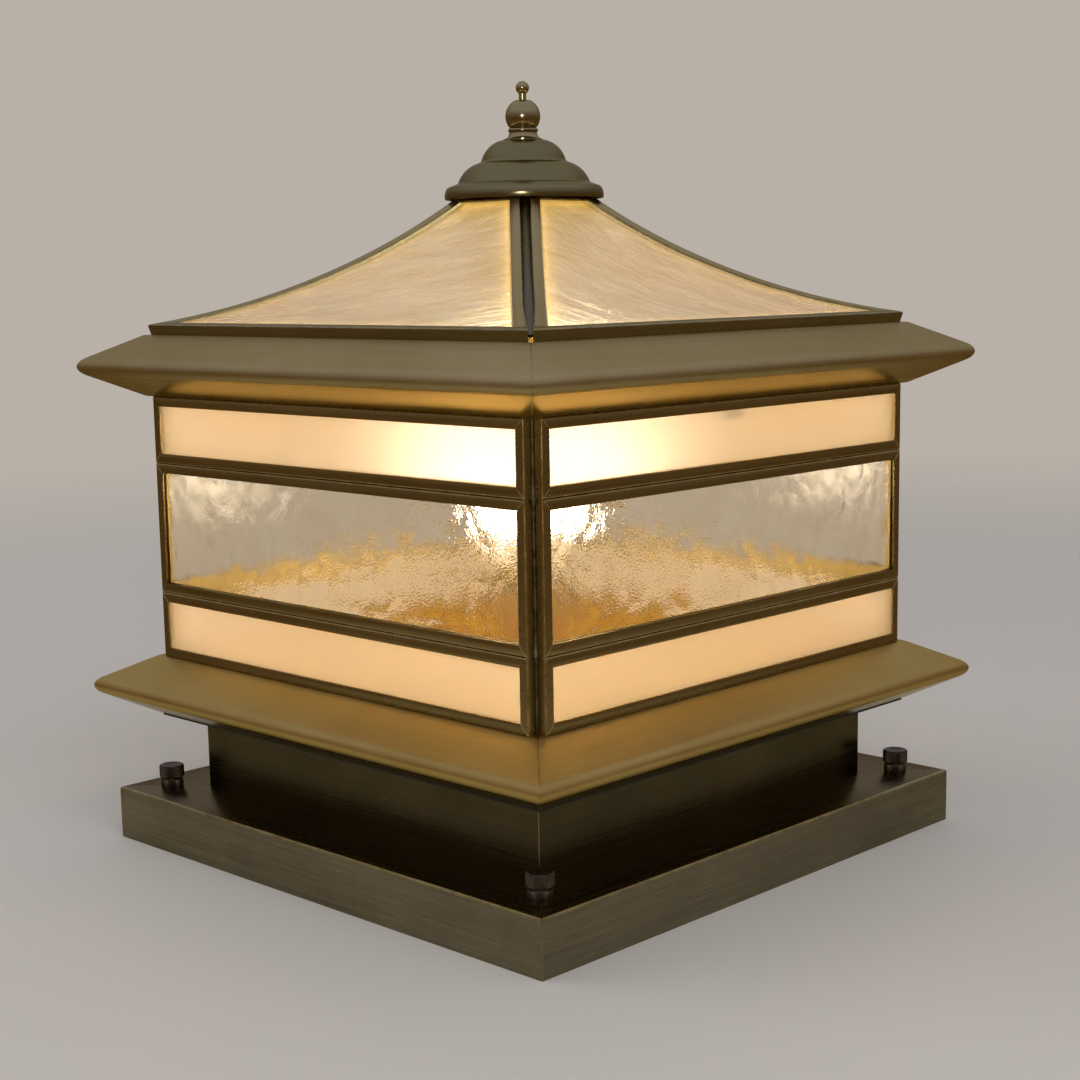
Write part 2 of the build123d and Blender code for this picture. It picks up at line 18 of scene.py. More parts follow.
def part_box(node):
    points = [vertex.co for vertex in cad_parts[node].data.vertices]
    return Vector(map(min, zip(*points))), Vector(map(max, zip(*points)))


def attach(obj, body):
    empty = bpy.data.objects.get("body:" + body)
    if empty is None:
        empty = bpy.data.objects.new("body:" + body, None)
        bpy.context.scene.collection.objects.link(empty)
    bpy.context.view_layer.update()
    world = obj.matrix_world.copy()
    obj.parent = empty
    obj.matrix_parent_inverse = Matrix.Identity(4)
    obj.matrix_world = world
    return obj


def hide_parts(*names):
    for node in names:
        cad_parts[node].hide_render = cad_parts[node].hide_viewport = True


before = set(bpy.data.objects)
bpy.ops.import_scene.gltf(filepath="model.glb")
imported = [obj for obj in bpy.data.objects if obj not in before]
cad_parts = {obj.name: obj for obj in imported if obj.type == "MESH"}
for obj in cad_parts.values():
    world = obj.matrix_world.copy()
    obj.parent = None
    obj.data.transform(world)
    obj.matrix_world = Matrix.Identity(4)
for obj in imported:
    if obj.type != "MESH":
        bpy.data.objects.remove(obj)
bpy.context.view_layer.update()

MM = 0.001
NEAR = 0.00001
SHARP_ANGLE = math.radians(32)
PAINTED_EDGE_GLOW = "painted_edge_glow"
LOG = logging.getLogger("post_light")

# Nearly all values of a noise texture lie in the first span, and all of them in the second.
NOISE_SPAN = (0.3, 0.7)
WHOLE_SPAN = (0.0, 1.0)
GLASS_IOR = 1.5

Point = tuple[float, float]
Tree = bpy.types.NodeTree
Socket = bpy.types.NodeSocket


class Grain(Enum):
    """Way that a surface is brushed: a turn about the upright axis, and the axes along the brush after it."""

    X = (0, (True, False, False))
    Y = (0, (False, True, False))
    # Marks run round the upright axis: on turned pieces, and across upright lengths.
    Z = (0, (False, False, True))
    FALLING_HIP = (-45, (True, False, True))
    RISING_HIP = (45, (True, False, True))


class Side(Enum):
    """One of the light's four sides, in quarter turns from the front."""

    FRONT = 0
    RIGHT = 1
    BACK = 2
    LEFT = 3

    @property
    def word(self) -> str:
        """The side's name as the frame's nodes spell it."""
        return self.name.lower()

    @property
    def turn(self) -> Matrix:
        """Turn from the front to this side."""
        return Matrix.Rotation(self.value * math.pi / 2, 4, "Z")

    @property
    def grain(self) -> Grain:
        """Way of a length that runs along this side."""
        return Grain.X if self in (Side.FRONT, Side.BACK) else Grain.Y

    @property
    def hips(self) -> tuple[Grain, Grain]:
        """Ways of the hips at this side's right and left end."""
        pair = (Grain.FALLING_HIP, Grain.RISING_HIP)
        return pair if self.grain is Grain.X else pair[::-1]


class Slot(Enum):
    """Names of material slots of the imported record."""

    SHEET = "antique_brass_sheet"
    CAME = "antique_brass_came"
    TURNED = "turned_brass"
    BRONZE = "dark_bronze"
    SOLDER = "solder_seam"
    HAMMERED = "hammered_glass"
    STREAKY = "streaky_glass"
    BULB = "bulb_glass"
    BULB_CAP = "bulb_cap_metal"


def linear(code: str) -> tuple[float, float, float, float]:
    """Turn an sRGB hex colour to linear.

    Args:
        code: six hex digits after a hash sign.

    Returns:
        Linear red, green, blue and an alpha of 1.
    """
    parts = [int(code[place:place + 2], 16) / 255 for place in (1, 3, 5)]
    straight = [part / 12.92 if part <= 0.04045 else ((part + 0.055) / 1.055) ** 2.4 for part in parts]
    return (*straight, 1.0)


def bare_tree(owner: bpy.types.Material | bpy.types.World) -> Tree:
    """Give a new material or world an empty node tree.

    Args:
        owner: the material or world.

    Returns:
        The tree.
    """
    owner.use_nodes = True
    owner.node_tree.nodes.clear()
    return owner.node_tree


def add_node(tree: Tree, kind: str, inputs: dict | Sequence = (), **settings: object) -> bpy.types.Node:
    """Add a node with its settings, values and links.

    Args:
        tree: node tree that the node joins.
        kind: the node's type.
        inputs: a value, or an output to link, for each input by name or number, or for the first in order.
        settings: the node's own properties.

    Returns:
        The new node.
    """
    node = tree.nodes.new(kind)
    for name, value in settings.items():
        setattr(node, name, value)
    for key, value in inputs.items() if isinstance(inputs, dict) else enumerate(inputs):
        if isinstance(value, Socket):
            tree.links.new(value, node.inputs[key])
        else:
            node.inputs[key].default_value = value
    return node


def toned(tree: Tree, value: Socket, span: Point, dark: str, lit: str) -> Socket:
    """Mix two colours.

    Args:
        tree: the node tree.
        value: output that the mix follows.
        span: its values at the first colour and at the second.
        dark: first colour.
        lit: second colour.

    Returns:
        Output with the mixed colour.
    """
    share = add_node(tree, "ShaderNodeMapRange", [value, *span]).outputs[0]
    ends = {0: share, 6: linear(dark), 7: linear(lit)}
    return add_node(tree, "ShaderNodeMix", ends, data_type="RGBA").outputs[2]


def drawn_out(tree: Tree, place: Socket, grain: Grain, width: float, length: float) -> Socket:
    """Stretch coordinates along a grain.

    Args:
        tree: the material's node tree.
        place: the coordinates.
        grain: way to stretch them.
        width: size of a streak across the grain, in millimetres.
        length: size of a streak along the grain.

    Returns:
        Output with the stretched coordinates.
    """
    turn, along = grain.value
    sizes = {
        "Vector": place,
        "Rotation": (0.0, 0.0, math.radians(turn)),
        "Scale": [(length if far else width) * MM for far in along],
    }
    return add_node(tree, "ShaderNodeMapping", sizes, vector_type="TEXTURE").outputs[0]


@dataclass(frozen=True)
class Finish:
    """Something that a surface is dressed in."""

    name: str

    def paint(self, tree: Tree, place: Socket) -> dict:
        """Add the finish's pattern.

        Args:
            tree: the material's node tree.
            place: Object coordinates.

        Returns:
            The shader's inputs.
        """
        raise NotImplementedError

    def material(self) -> bpy.types.Material:
        """Make the finish's material, or find it if it is made already.

        Returns:
            The material.
        """
        made = bpy.data.materials.get(self.name)
        if made is None:
            made = bpy.data.materials.new(self.name)
            tree = bare_tree(made)
            place = add_node(tree, "ShaderNodeTexCoord").outputs["Object"]
            shader = add_node(tree, "ShaderNodeBsdfPrincipled", self.paint(tree, place))
            add_node(tree, "ShaderNodeOutputMaterial", {"Surface": shader.outputs[0]})
        return made


@dataclass(frozen=True)
class BrushedBrass(Finish):
    """Brass darkened to an antique tone and brushed: satin, with streaks along the brush's way."""

    dark: str
    lit: str
    grain: Grain
    roughness: Point
    streak: float = 1.1
    run: float = 70.0
    cloud: float = 55.0
    scratch: float = 0.012
    edge: str = "#d9d3bc"
    spread: float = 0.0
    tone_span: Point = (0.65, 1.35)

    def streaks(self, tree: Tree, place: Socket) -> Socket:
        """Add the pattern of brush marks, wider than real ones so that they show.

        Args:
            tree: the material's node tree.
            place: Object coordinates.

        Returns:
            Output with the height of the marks.
        """
        if self.grain is Grain.Z:
            height = add_node(tree, "ShaderNodeSeparateXYZ", [place]).outputs[2]
            level = add_node(tree, "ShaderNodeVectorMath", [place, (1, 1, 0)], operation="MULTIPLY")
            reach = add_node(tree, "ShaderNodeVectorMath", [level.outputs[0]], operation="LENGTH")
            place = add_node(tree, "ShaderNodeCombineXYZ", [reach.outputs["Value"], height]).outputs[0]
        mapped = drawn_out(tree, place, self.grain, self.streak, self.run)
        marks = {"Vector": mapped, "Scale": 1.0, "Detail": 3.0, "Roughness": 0.6}
        return add_node(tree, "ShaderNodeTexNoise", marks).outputs[0]

    def paint(self, tree: Tree, place: Socket) -> dict:
        """Add brush marks and a cloudy patina.

        Args:
            tree: the material's node tree.
            place: Object coordinates.

        Returns:
            The shader's inputs.
        """
        marks = self.streaks(tree, place)
        patina = {"Vector": place, "Scale": 1 / (self.cloud * MM), "Detail": 4.0, "Roughness": 0.55}
        cloud = add_node(tree, "ShaderNodeTexNoise", patina).outputs[0]
        both = add_node(tree, "ShaderNodeMath", [marks, cloud], operation="ADD").outputs[0]
        dull = add_node(tree, "ShaderNodeMapRange", [marks, *NOISE_SPAN, *self.roughness])
        scratches = {"Height": marks, "Strength": 0.35, "Distance": self.scratch * MM}
        relief = add_node(tree, "ShaderNodeBump", scratches)
        facing = add_node(tree, "ShaderNodeNewGeometry").outputs["True Normal"]
        brush = [float(far) for far in self.grain.value[1]]
        across = add_node(tree, "ShaderNodeVectorMath", [facing, brush], operation="CROSS_PRODUCT")
        return {
            "Base Color": toned(tree, both, self.tone_span, self.dark, self.lit),
            "Metallic": 1.0,
            "Roughness": dull.outputs[0],
            "Specular Tint": linear(self.edge),
            "Normal": relief.outputs[0],
            "Anisotropic": self.spread,
            "Tangent": across.outputs[0],
        }


@dataclass(frozen=True)
class MottledMetal(Finish):
    """Metal with a cloudy skin, such as blackened bronze, solder or zinc plating."""

    dark: str
    lit: str
    roughness: Point
    spot: float
    grit: float = 0.02
    metal: float = 1.0
    tone_span: Point = (0.32, 0.68)

    def paint(self, tree: Tree, place: Socket) -> dict:
        """Add the skin's clouds to its colour, gloss and relief.

        Args:
            tree: the material's node tree.
            place: Object coordinates.

        Returns:
            The shader's inputs.
        """
        skin = {"Vector": place, "Scale": 1 / (self.spot * MM), "Detail": 5.0, "Roughness": 0.65}
        cloud = add_node(tree, "ShaderNodeTexNoise", skin).outputs[0]
        dull = add_node(tree, "ShaderNodeMapRange", [cloud, *NOISE_SPAN, *self.roughness])
        pits = {"Height": cloud, "Strength": 0.4, "Distance": self.grit * MM}
        relief = add_node(tree, "ShaderNodeBump", pits)
        return {
            "Base Color": toned(tree, cloud, self.tone_span, self.dark, self.lit),
            "Metallic": self.metal,
            "Roughness": dull.outputs[0],
            "Normal": relief.outputs[0],
        }


@dataclass(frozen=True)
class ShadeRimmedMetal(MottledMetal):
    """Mottled metal of a square plate, with a rim painted near black as the shade under the eave."""

    # Colour of the painted shade on the rim.
    black: str = "#2a251c"
    rim: float = 0.0

    def paint(self, tree: Tree, place: Socket) -> dict:
        """Paint near black, as shade, what lies beyond the rim's distance from the plate's middle.

        Args:
            tree: the material's node tree.
            place: Object coordinates.

        Returns:
            The shader's inputs.
        """
        inputs = super().paint(tree, place)
        away = add_node(tree, "ShaderNodeVectorMath", [place], operation="ABSOLUTE").outputs[0]
        apart = add_node(tree, "ShaderNodeSeparateXYZ", [away]).outputs
        most = add_node(tree, "ShaderNodeMath", apart[:2], operation="MAXIMUM").outputs[0]
        # Mask of the painted shade along the rim.
        edge = add_node(tree, "ShaderNodeMath", [most, self.rim * MM], operation="GREATER_THAN")
        ends = {0: edge.outputs[0], 6: inputs["Base Color"], 7: linear(self.black)}
        inputs["Base Color"] = add_node(tree, "ShaderNodeMix", ends, data_type="RGBA").outputs[2]
        return inputs


@dataclass(frozen=True)
class OpalGlass(Finish):
    """Rolled white opal sheet, lit from behind by the bulb, with an even painted peach glow, an emission of
    its own though it is no lamp, and faint streaks of the rolling.
    """

    body: str
    glow: str
    grain: Grain
    strength: float
    clear: float
    roughness: float
    streak: float = 4.5
    run: float = 150.0
    contrast: float = 0.06
    ripple: float = 0.05

    def paint(self, tree: Tree, place: Socket) -> dict:
        """Add the streaks to the painted glow and to the surface.

        Args:
            tree: the material's node tree.
            place: Object coordinates.

        Returns:
            The shader's inputs.
        """
        mapped = drawn_out(tree, place, self.grain, self.streak, self.run)
        marks = {"Vector": mapped, "Scale": 1.0, "Detail": 2.0, "Distortion": 0.4}
        streaks = add_node(tree, "ShaderNodeTexNoise", marks).outputs[0]
        # The pane's emission is a painted glow that stands in for the bulb's light scattered in the opal.
        ends = [self.strength * (1 - self.contrast), self.strength * (1 + self.contrast)]
        glow = add_node(tree, "ShaderNodeMapRange", [streaks, *NOISE_SPAN, *ends])
        rolled = {"Height": streaks, "Strength": 0.2, "Distance": self.ripple * MM}
        relief = add_node(tree, "ShaderNodeBump", rolled)
        return {
            "Base Color": linear(self.body),
            "Roughness": self.roughness,
            "IOR": GLASS_IOR,
            "Transmission Weight": self.clear,
            "Emission Color": linear(self.glow),
            "Emission Strength": glow.outputs[0],
            "Normal": relief.outputs[0],
        }


@dataclass(frozen=True)
class HammeredGlass(Finish):
    """Clear hammered glass: bright and sharp, with tiny seeds and ripples between its dimples."""

    tint: str
    shade: str
    peel: float = 1.0
    patch: float = 24.0
    peel_depth: float = 0.1
    patch_span: Point = (0.42, 0.62)
    peel_strength: Point = (0.7, 1.0)

    def paint(self, tree: Tree, place: Socket) -> dict:
        """Add a trace of tint, and a fine peel that comes and goes in patches.

        Args:
            tree: the material's node tree.
            place: Object coordinates.

        Returns:
            The shader's inputs.
        """
        ripple = {"Vector": place, "Scale": 1 / (self.peel * MM), "Detail": 1.0}
        marks = add_node(tree, "ShaderNodeTexNoise", ripple).outputs[0]
        spread = {"Vector": place, "Scale": 1 / (self.patch * MM), "Detail": 2.0}
        patches = add_node(tree, "ShaderNodeTexNoise", spread).outputs[0]
        span = [patches, *self.patch_span, *self.peel_strength]
        strength = add_node(tree, "ShaderNodeMapRange", span).outputs[0]
        high = add_node(tree, "ShaderNodeMath", [marks, strength], operation="MULTIPLY").outputs[0]
        relief = add_node(tree, "ShaderNodeBump", {"Height": high, "Distance": self.peel_depth * MM})
        return {
            "Base Color": toned(tree, patches, WHOLE_SPAN, self.tint, self.shade),
            "Roughness": 0.02,
            "IOR": GLASS_IOR,
            "Transmission Weight": 1.0,
            "Normal": relief.outputs[0],
        }


@dataclass(frozen=True)
class StreakyGlass(Finish):
    """Streaky water glass: champagne with pale wisps drawn through it, and a painted amber glow, an emission
    though it is no lamp, strongest along its edges.
    """

    body: str
    wisp: str
    glow: str
    strength: Point
    clear: float
    roughness: float
    wisp_width: float = 9.0
    wisp_length: float = 60.0
    wisp_span: Point = (0.35, 0.65)
    lean: float = 20.0
    wave: float = 1.1

    def paint(self, tree: Tree, place: Socket) -> dict:
        """Add the wisps to the colour and the surface, and the painted glow at the edges.

        Args:
            tree: the material's node tree.
            place: Object coordinates.

        Returns:
            The shader's inputs.
        """
        stretch = {
            "Vector": place,
            "Rotation": (0.0, 0.0, math.radians(self.lean)),
            "Scale": (self.wisp_length * MM, self.wisp_width * MM, self.wisp_width * MM),
        }
        mapped = add_node(tree, "ShaderNodeMapping", stretch, vector_type="TEXTURE")
        coarse = {"Scale": 1.0, "Detail": 5.0, "Roughness": 0.6, "Distortion": 1.0}
        wisps = add_node(tree, "ShaderNodeTexNoise", {"Vector": mapped.outputs[0], **coarse}).outputs[0]
        # Painted glow: the emission rises towards the channels in place of the bulb's light caught at the
        # panes' edges, and is faint all over.
        edge = add_node(tree, "ShaderNodeAttribute", attribute_name=PAINTED_EDGE_GLOW).outputs["Fac"]
        light = add_node(tree, "ShaderNodeMapRange", [edge, *WHOLE_SPAN, *self.strength])
        relief = add_node(tree, "ShaderNodeBump", {"Height": wisps, "Distance": self.wave * MM})
        return {
            "Base Color": toned(tree, wisps, self.wisp_span, self.body, self.wisp),
            "Roughness": self.roughness,
            "IOR": GLASS_IOR,
            "Transmission Weight": self.clear,
            "Emission Color": linear(self.glow),
            "Emission Strength": light.outputs[0],
            "Normal": relief.outputs[0],
        }


@dataclass(frozen=True)
class FrostedBulb(Finish):
    """White-frosted bulb glass, lit warm, and dim at the neck where the works are housed."""

    glow: str
    dim_end: float
    full_start: float
    strength: Point
    body: str = "#f4efe6"

    def paint(self, tree: Tree, place: Socket) -> dict:
        """Add the light, fading towards the neck.

        Args:
            tree: the material's node tree.
            place: Object coordinates.

        Returns:
            The shader's inputs.
        """
        height = add_node(tree, "ShaderNodeSeparateXYZ", [place]).outputs[2]
        fade = [height, self.dim_end * MM, self.full_start * MM, *self.strength]
        light = add_node(tree, "ShaderNodeMapRange", fade)
        return {
            "Base Color": linear(self.body),
            "Roughness": 0.45,
            "Emission Color": linear(self.glow),
            "Emission Strength": light.outputs[0],
        }


@dataclass(frozen=True)
class MouldedRubber(Finish):
    """Black moulded rubber: dull, with a fine grain from the mould."""

    dark: str
    lit: str
    grit: float = 0.6
    grit_depth: float = 0.1

    def paint(self, tree: Tree, place: Socket) -> dict:
        """Add the mould's grain.

        Args:
            tree: the material's node tree.
            place: Object coordinates.

        Returns:
            The shader's inputs.
        """
        grain = {"Vector": place, "Scale": 1 / (self.grit * MM), "Detail": 3.0}
        marks = add_node(tree, "ShaderNodeTexNoise", grain).outputs[0]
        pits = {"Height": marks, "Strength": 0.3, "Distance": self.grit_depth * MM}
        relief = add_node(tree, "ShaderNodeBump", pits)
        colour = toned(tree, marks, WHOLE_SPAN, self.dark, self.lit)
        return {"Base Color": colour, "Roughness": 0.75, "Normal": relief.outputs[0]}


class Brass(Enum):
    """Tones of brushed brass: name, darkest and most rubbed colour, roughness, spread across the marks."""

    # Lower eave, the most golden: partly a painted golden sheen of the panes' glow.
    WARM = ("warm_antique_brass", "#b39752", "#c7ab66", (0.36, 0.46), 0.4)
    # Upper eave and hips, olive where the panes don't light it.
    SATIN = ("satin_antique_brass", "#ab9a67", "#beac7a", (0.3, 0.4), 0.85)
    # Undersides of the eaves, smooth enough to mirror the panes.
    SMOOTH = ("smooth_antique_brass", "#b09a5c", "#c6b06e", (0.18, 0.28), 0.0)
    # Plinth.
    DARK = ("dark_antique_brass", "#685f4b", "#877e66", (0.2, 0.32), 0.0)
    # Foot of the roof, painted darker than the hips as shade on its upright faces.
    ROOF = ("roof_antique_brass", "#867d56", "#999067", (0.2, 0.32), 0.0)
    # Neck under the lower eave, the darkest: painted shade of the eave above it.
    DEEP = ("deep_antique_brass", "#453c26", "#5e5339", (0.22, 0.34), 0.0)
    # Cames of the walls.
    CAME = ("came_brass", "#8b794a", "#a08d5c", (0.24, 0.36), 0.0)

    def along(self, grain: Grain) -> BrushedBrass:
        """The tone's finish, brushed along a grain."""
        name, dark, lit, roughness, spread = self.value
        return BrushedBrass(f"{name}_{grain.name.lower()}", dark, lit, grain, roughness, spread=spread)


# Edges and seams with the patina rubbed thin: paler than the sheet, partly wear and partly a painted
# highlight, with a soft gleam.
WEAR_AND_SHEEN_BRASS = MottledMetal("wear_and_sheen_brass", "#85774c", "#ab9a66", (0.24, 0.36), 9.0)
# Bottoms of the hips' grooves: dull, and painted dark as the shade in the grooves.
GROOVE_SHADE_BRASS = MottledMetal("groove_shade_brass", "#554a29", "#74683e", (0.3, 0.45), 8.0)
# Rolled edges of the cames: a thin line of paler brass, partly rubbed wear and partly a painted highlight.
CAME_EDGE = MottledMetal("came_edge_brass", "#9a8650", "#b8a268", (0.2, 0.32), 7.0)
# Inner faces of the cames: dull, and painted yellow as the bulb's glow on them.
INNER_GLOW_BRASS = MottledMetal("inner_glow_brass", "#7d6a32", "#94803f", (0.6, 0.8), 10.0, metal=0.35)
# Insides of the sheet: dull bare brass, painted bright yellow as the bulb's glow on them.
BARE_GLOW_BRASS = MottledMetal("bare_glow_brass", "#d4bc50", "#f0da68", (0.6, 0.8), 12.0, metal=0.35)
# Cap spun on a lathe: fine rings and a satin gleam.
TURNED_BRASS = BrushedBrass("turned_antique_brass", "#726844", "#8b815b", Grain.Z, (0.14, 0.25), 0.7)
# Finial turned and polished: finer rings, a brighter gleam, and a colour lighter than the cap's that is
# partly a painted highlight.
FINIAL_BRASS = BrushedBrass("polished_highlight_brass", "#92845c", "#b5a678", Grain.Z, (0.12, 0.22), 0.6)
# Nuts blackened in a bath: nearly black, with brown clouds.
DARK_BRONZE = MottledMetal("blackened_bronze", "#453c2f", "#64584a", (0.32, 0.5), 3.0)
# Solder bronzed with the brass: dark lumps with paler tops.
SOLDER = MottledMetal("bronzed_solder", "#3f3826", "#746848", (0.28, 0.5), 4.0, 0.08)
# Plated steel of the works: cool grey and faintly clouded.
ZINC = MottledMetal("zinc_plated_steel", "#8f9192", "#b9bbbb", (0.3, 0.5), 6.0)
# Drawn brass of the lampholder: plain yellow and dull.
HOLDER_BRASS = MottledMetal("lampholder_brass", "#8e7238", "#b7964e", (0.5, 0.7), 8.0)
# Nickel plating of the bulb's cap: pale and shiny.
CAP_NICKEL = MottledMetal("bulb_cap_nickel", "#a9a69e", "#cfccc4", (0.18, 0.32), 5.0)
# Grommet: black and dull.
RUBBER = MouldedRubber("grommet_rubber_black", "#1a1a1a", "#2a2a29")
# Middle panes: clear, with a warm tint.
HAMMERED = HammeredGlass("clear_hammered_glass", "#fffaf0", "#f3ead8")
# Roof panes: champagne with cream wisps, and a painted amber glow at the edges.
STREAKY = StreakyGlass("champagne_streaky_glass", "#e4dabd", "#fefaec", "#ffcd66", (0.06, 0.4), 0.85, 0.27)


def opal(grain: Grain) -> OpalGlass:
    """Opal sheet with its rolling streaks along a side."""
    name = f"lit_opal_glass_{grain.name.lower()}"
    # strength is the emission of the painted glow.
    return OpalGlass(name, "#ffeedd", "#ffe0a0", grain, strength=0.103, clear=0.96, roughness=0.62)


def node_box(node: str) -> tuple[Vector, Vector]:
    """Lowest and highest corner of a frame's node, in millimetres."""
    low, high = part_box(node)
    return low / MM, high / MM


def dress(node: str, finish: Finish) -> None:
    """Give a finish to a node that is shown as packed.

    Args:
        node: the node's name.
        finish: what it is dressed in.
    """
    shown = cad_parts[node]
    if not shown.material_slots:
        shown.data.materials.append(None)
    for place in shown.material_slots:
        place.material = finish.material()
    LOG.info("%s keeps its packed shape", node)


def add_piece(
    bm: BMesh,
    name: str,
    body: str,
    finishes: Sequence[Finish],
    nodes: Sequence[str],
    place: Matrix = Matrix.Identity(4),
) -> None:
    """Make a finished mesh a piece of the light.

    Args:
        bm: the mesh, in metres. It is freed.
        name: the piece's name.
        body: body that the piece rides on.
        finishes: one finish for each material number of the faces.
        nodes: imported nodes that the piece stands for.
        place: where the mesh goes, if it isn't made in its place.
    """
    bmesh.ops.transform(bm, matrix=place, verts=bm.verts)
    for face in bm.faces:
        face.smooth = True
    mesh = bpy.data.meshes.new(name)
    bm.to_mesh(mesh)
    bm.free()
    for finish in finishes:
        mesh.materials.append(finish.material())
    mesh.set_sharp_from_angle(angle=SHARP_ANGLE)
    piece = bpy.data.objects.new(name, mesh)
    bpy.context.scene.collection.objects.link(piece)
    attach(piece, body)
    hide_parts(*nodes)
    LOG.info("%s rides on %s for %s", name, body, ", ".join(nodes))


def gather(parts: Iterable[BMesh]) -> BMesh:
    """Put several meshes into one.

    Args:
        parts: the meshes, which are freed.

    Returns:
        The joint mesh.
    """
    whole = bmesh.new()
    for part in parts:
        mesh = bpy.data.meshes.new("part")
        part.to_mesh(mesh)
        part.free()
        whole.from_mesh(mesh)
        bpy.data.meshes.remove(mesh)
    return whole


def bulged(start: Point, end: Point, rise: float, steps: int) -> list[Point]:
    """Points of an arc between two points, without the first.

    Args:
        start: first point, as radius and height.
        end: last point.
        rise: height of the arc to the right of its chord, or to the left if negative.
        steps: number of points.

    Returns:
        The points after the first.
    """
    first, last = Vector(start), Vector(end)
    way = last - first
    half = way.length / 2
    radius = (half * half + rise * rise) / (2 * rise)
    swing = math.atan2(half, radius - rise) if rise > 0 else math.atan2(-half, rise - radius)
    right = Vector((way.y, -way.x)).normalized()
    middle = (first + last) / 2
    ahead = way.normalized()
    points = []
    for step in range(1, steps + 1):
        turn = abs(swing) * (2 * step / steps - 1)
        lift = abs(radius) * math.cos(turn) - abs(radius - rise)
        spot = middle + ahead * abs(radius) * math.sin(turn) + right * math.copysign(lift, rise)
        points.append((spot.x, spot.y))
    return points


def arc_about(centre: Point, radius: float, start: float, end: float, steps: int) -> list[Point]:
    """Points of an arc about a centre, its ends included.

    Args:
        centre: the arc's centre, as radius and height.
        radius: the arc's radius.
        start: first angle in degrees.
        end: last angle in degrees.
        steps: number of stretches.

    Returns:
        The points.
    """
    turns = [math.radians(start + (end - start) * step / steps) for step in range(steps + 1)]
    return [(centre[0] + radius * math.cos(turn), centre[1] + radius * math.sin(turn)) for turn in turns]


def lathe(profile: Sequence[Point], steps: int) -> BMesh:
    """Turn a profile round the upright axis.

    Args:
        profile: radius and height of each point, in millimetres.
        steps: stretches of the full turn.

    Returns:
        The turned mesh.
    """
    bm = bmesh.new()
    line = [bm.verts.new((radius * MM, 0.0, height * MM)) for radius, height in profile]
    edges = [bm.edges.new(pair) for pair in zip(line, line[1:])]
    bmesh.ops.spin(
        bm,
        geom=line + edges,
        cent=(0.0, 0.0, 0.0),
        axis=(0.0, 0.0, 1.0),
        angle=2 * math.pi,
        steps=steps,
        use_merge=True,
    )
    bmesh.ops.remove_doubles(bm, verts=bm.verts, dist=NEAR)
    bmesh.ops.recalc_face_normals(bm, faces=bm.faces)
    return bm


def bevel(bm: BMesh, edges: Sequence[BMEdge], offset: float, segments: int, number: int) -> None:
    """Round some edges and give the new faces a material number.

    Args:
        bm: the mesh.
        edges: edges to round.
        offset: distance of the rounding from the edge, in millimetres.
        segments: faces across the rounding.
        number: material number of the new faces.
    """
    made = bmesh.ops.bevel(
        bm,
        geom=edges,
        offset=offset * MM,
        offset_type="OFFSET",
        segments=segments,
        profile=0.5,
        affect="EDGES",
        material=-1,
    )
    for face in made["faces"]:
        face.material_index = number


def edges_at(bm: BMesh, out: float, height: float, turned: bool = False) -> list[BMEdge]:
    """Find the edges that run round a turned mesh, or along the front, at one place of the profile.

    Args:
        bm: the mesh.
        out: distance from the upright axis, or towards the front, in millimetres.
        height: height in millimetres.
        turned: whether the mesh is turned.

    Returns:
        The edges.
    """

    def there(vert: BMVert) -> bool:
        """True at that distance and height."""
        reach = math.hypot(vert.co.x, vert.co.y) if turned else -vert.co.y
        return abs(reach - out * MM) < NEAR and abs(vert.co.z - height * MM) < NEAR

    return [edge for edge in bm.edges if all(there(vert) for vert in edge.verts)]


def verts_of(geometry: Iterable[object]) -> list[BMVert]:
    """The vertices among what an operator made."""
    return [part for part in geometry if isinstance(part, BMVert)]


def bent_sheet(profile: Sequence[Point], reach: float) -> BMesh:
    """Bend an open sheet along the front.

    Args:
        profile: distance out and height of each bend, from the underside to the top, in millimetres.
        reach: half of the sheet's length.

    Returns:
        The sheet, its outer face outwards.
    """
    bm = bmesh.new()
    line = [bm.verts.new((-reach * MM, -out * MM, height * MM)) for out, height in profile]
    edges = [bm.edges.new(pair) for pair in zip(line, line[1:])]
    grown = bmesh.ops.extrude_edge_only(bm, edges=edges)["geom"]
    bmesh.ops.translate(bm, verts=verts_of(grown), vec=(2 * reach * MM, 0.0, 0.0))
    bm.normal_update()
    return bm


def cut_off(bm: BMesh, point: Vector, normal: Vector) -> list[BMEdge]:
    """Cut away what lies on the normal's side of a plane and close the cut.

    Args:
        bm: the mesh.
        point: point of the plane.
        normal: direction that is cut away.

    Returns:
        The edges round the cut.
    """
    whole = bm.verts[:] + bm.edges[:] + bm.faces[:]
    made = bmesh.ops.bisect_plane(
        bm, geom=whole, dist=NEAR / 10, plane_co=point, plane_no=normal, clear_outer=True
    )
    rim = [part for part in made["geom_cut"] if isinstance(part, BMEdge)]
    bmesh.ops.edgeloop_fill(bm, edges=rim)
    return rim


def mitre(bm: BMesh, gap: float, seam: float, number: int) -> None:
    """Cut a length of the front to its two mitres, with a small seam along each.

    Args:
        bm: the mesh.
        gap: space that the length leaves to its neighbour, in millimetres.
        seam: width of the broken edge along the mitre.
        number: material number of the broken edge.
    """
    for hand in (1, -1):
        normal = Vector((hand, 1.0, 0.0)).normalized()
        rim = cut_off(bm, normal * (-gap / 2 * MM), normal)
        bevel(bm, rim, seam, 1, number)
    bmesh.ops.recalc_face_normals(bm, faces=bm.faces)


def paint_faces(bm: BMesh, old: int, new: int) -> None:
    """Give the faces of one material number another."""
    for face in bm.faces:
        if face.material_index == old:
            face.material_index = new


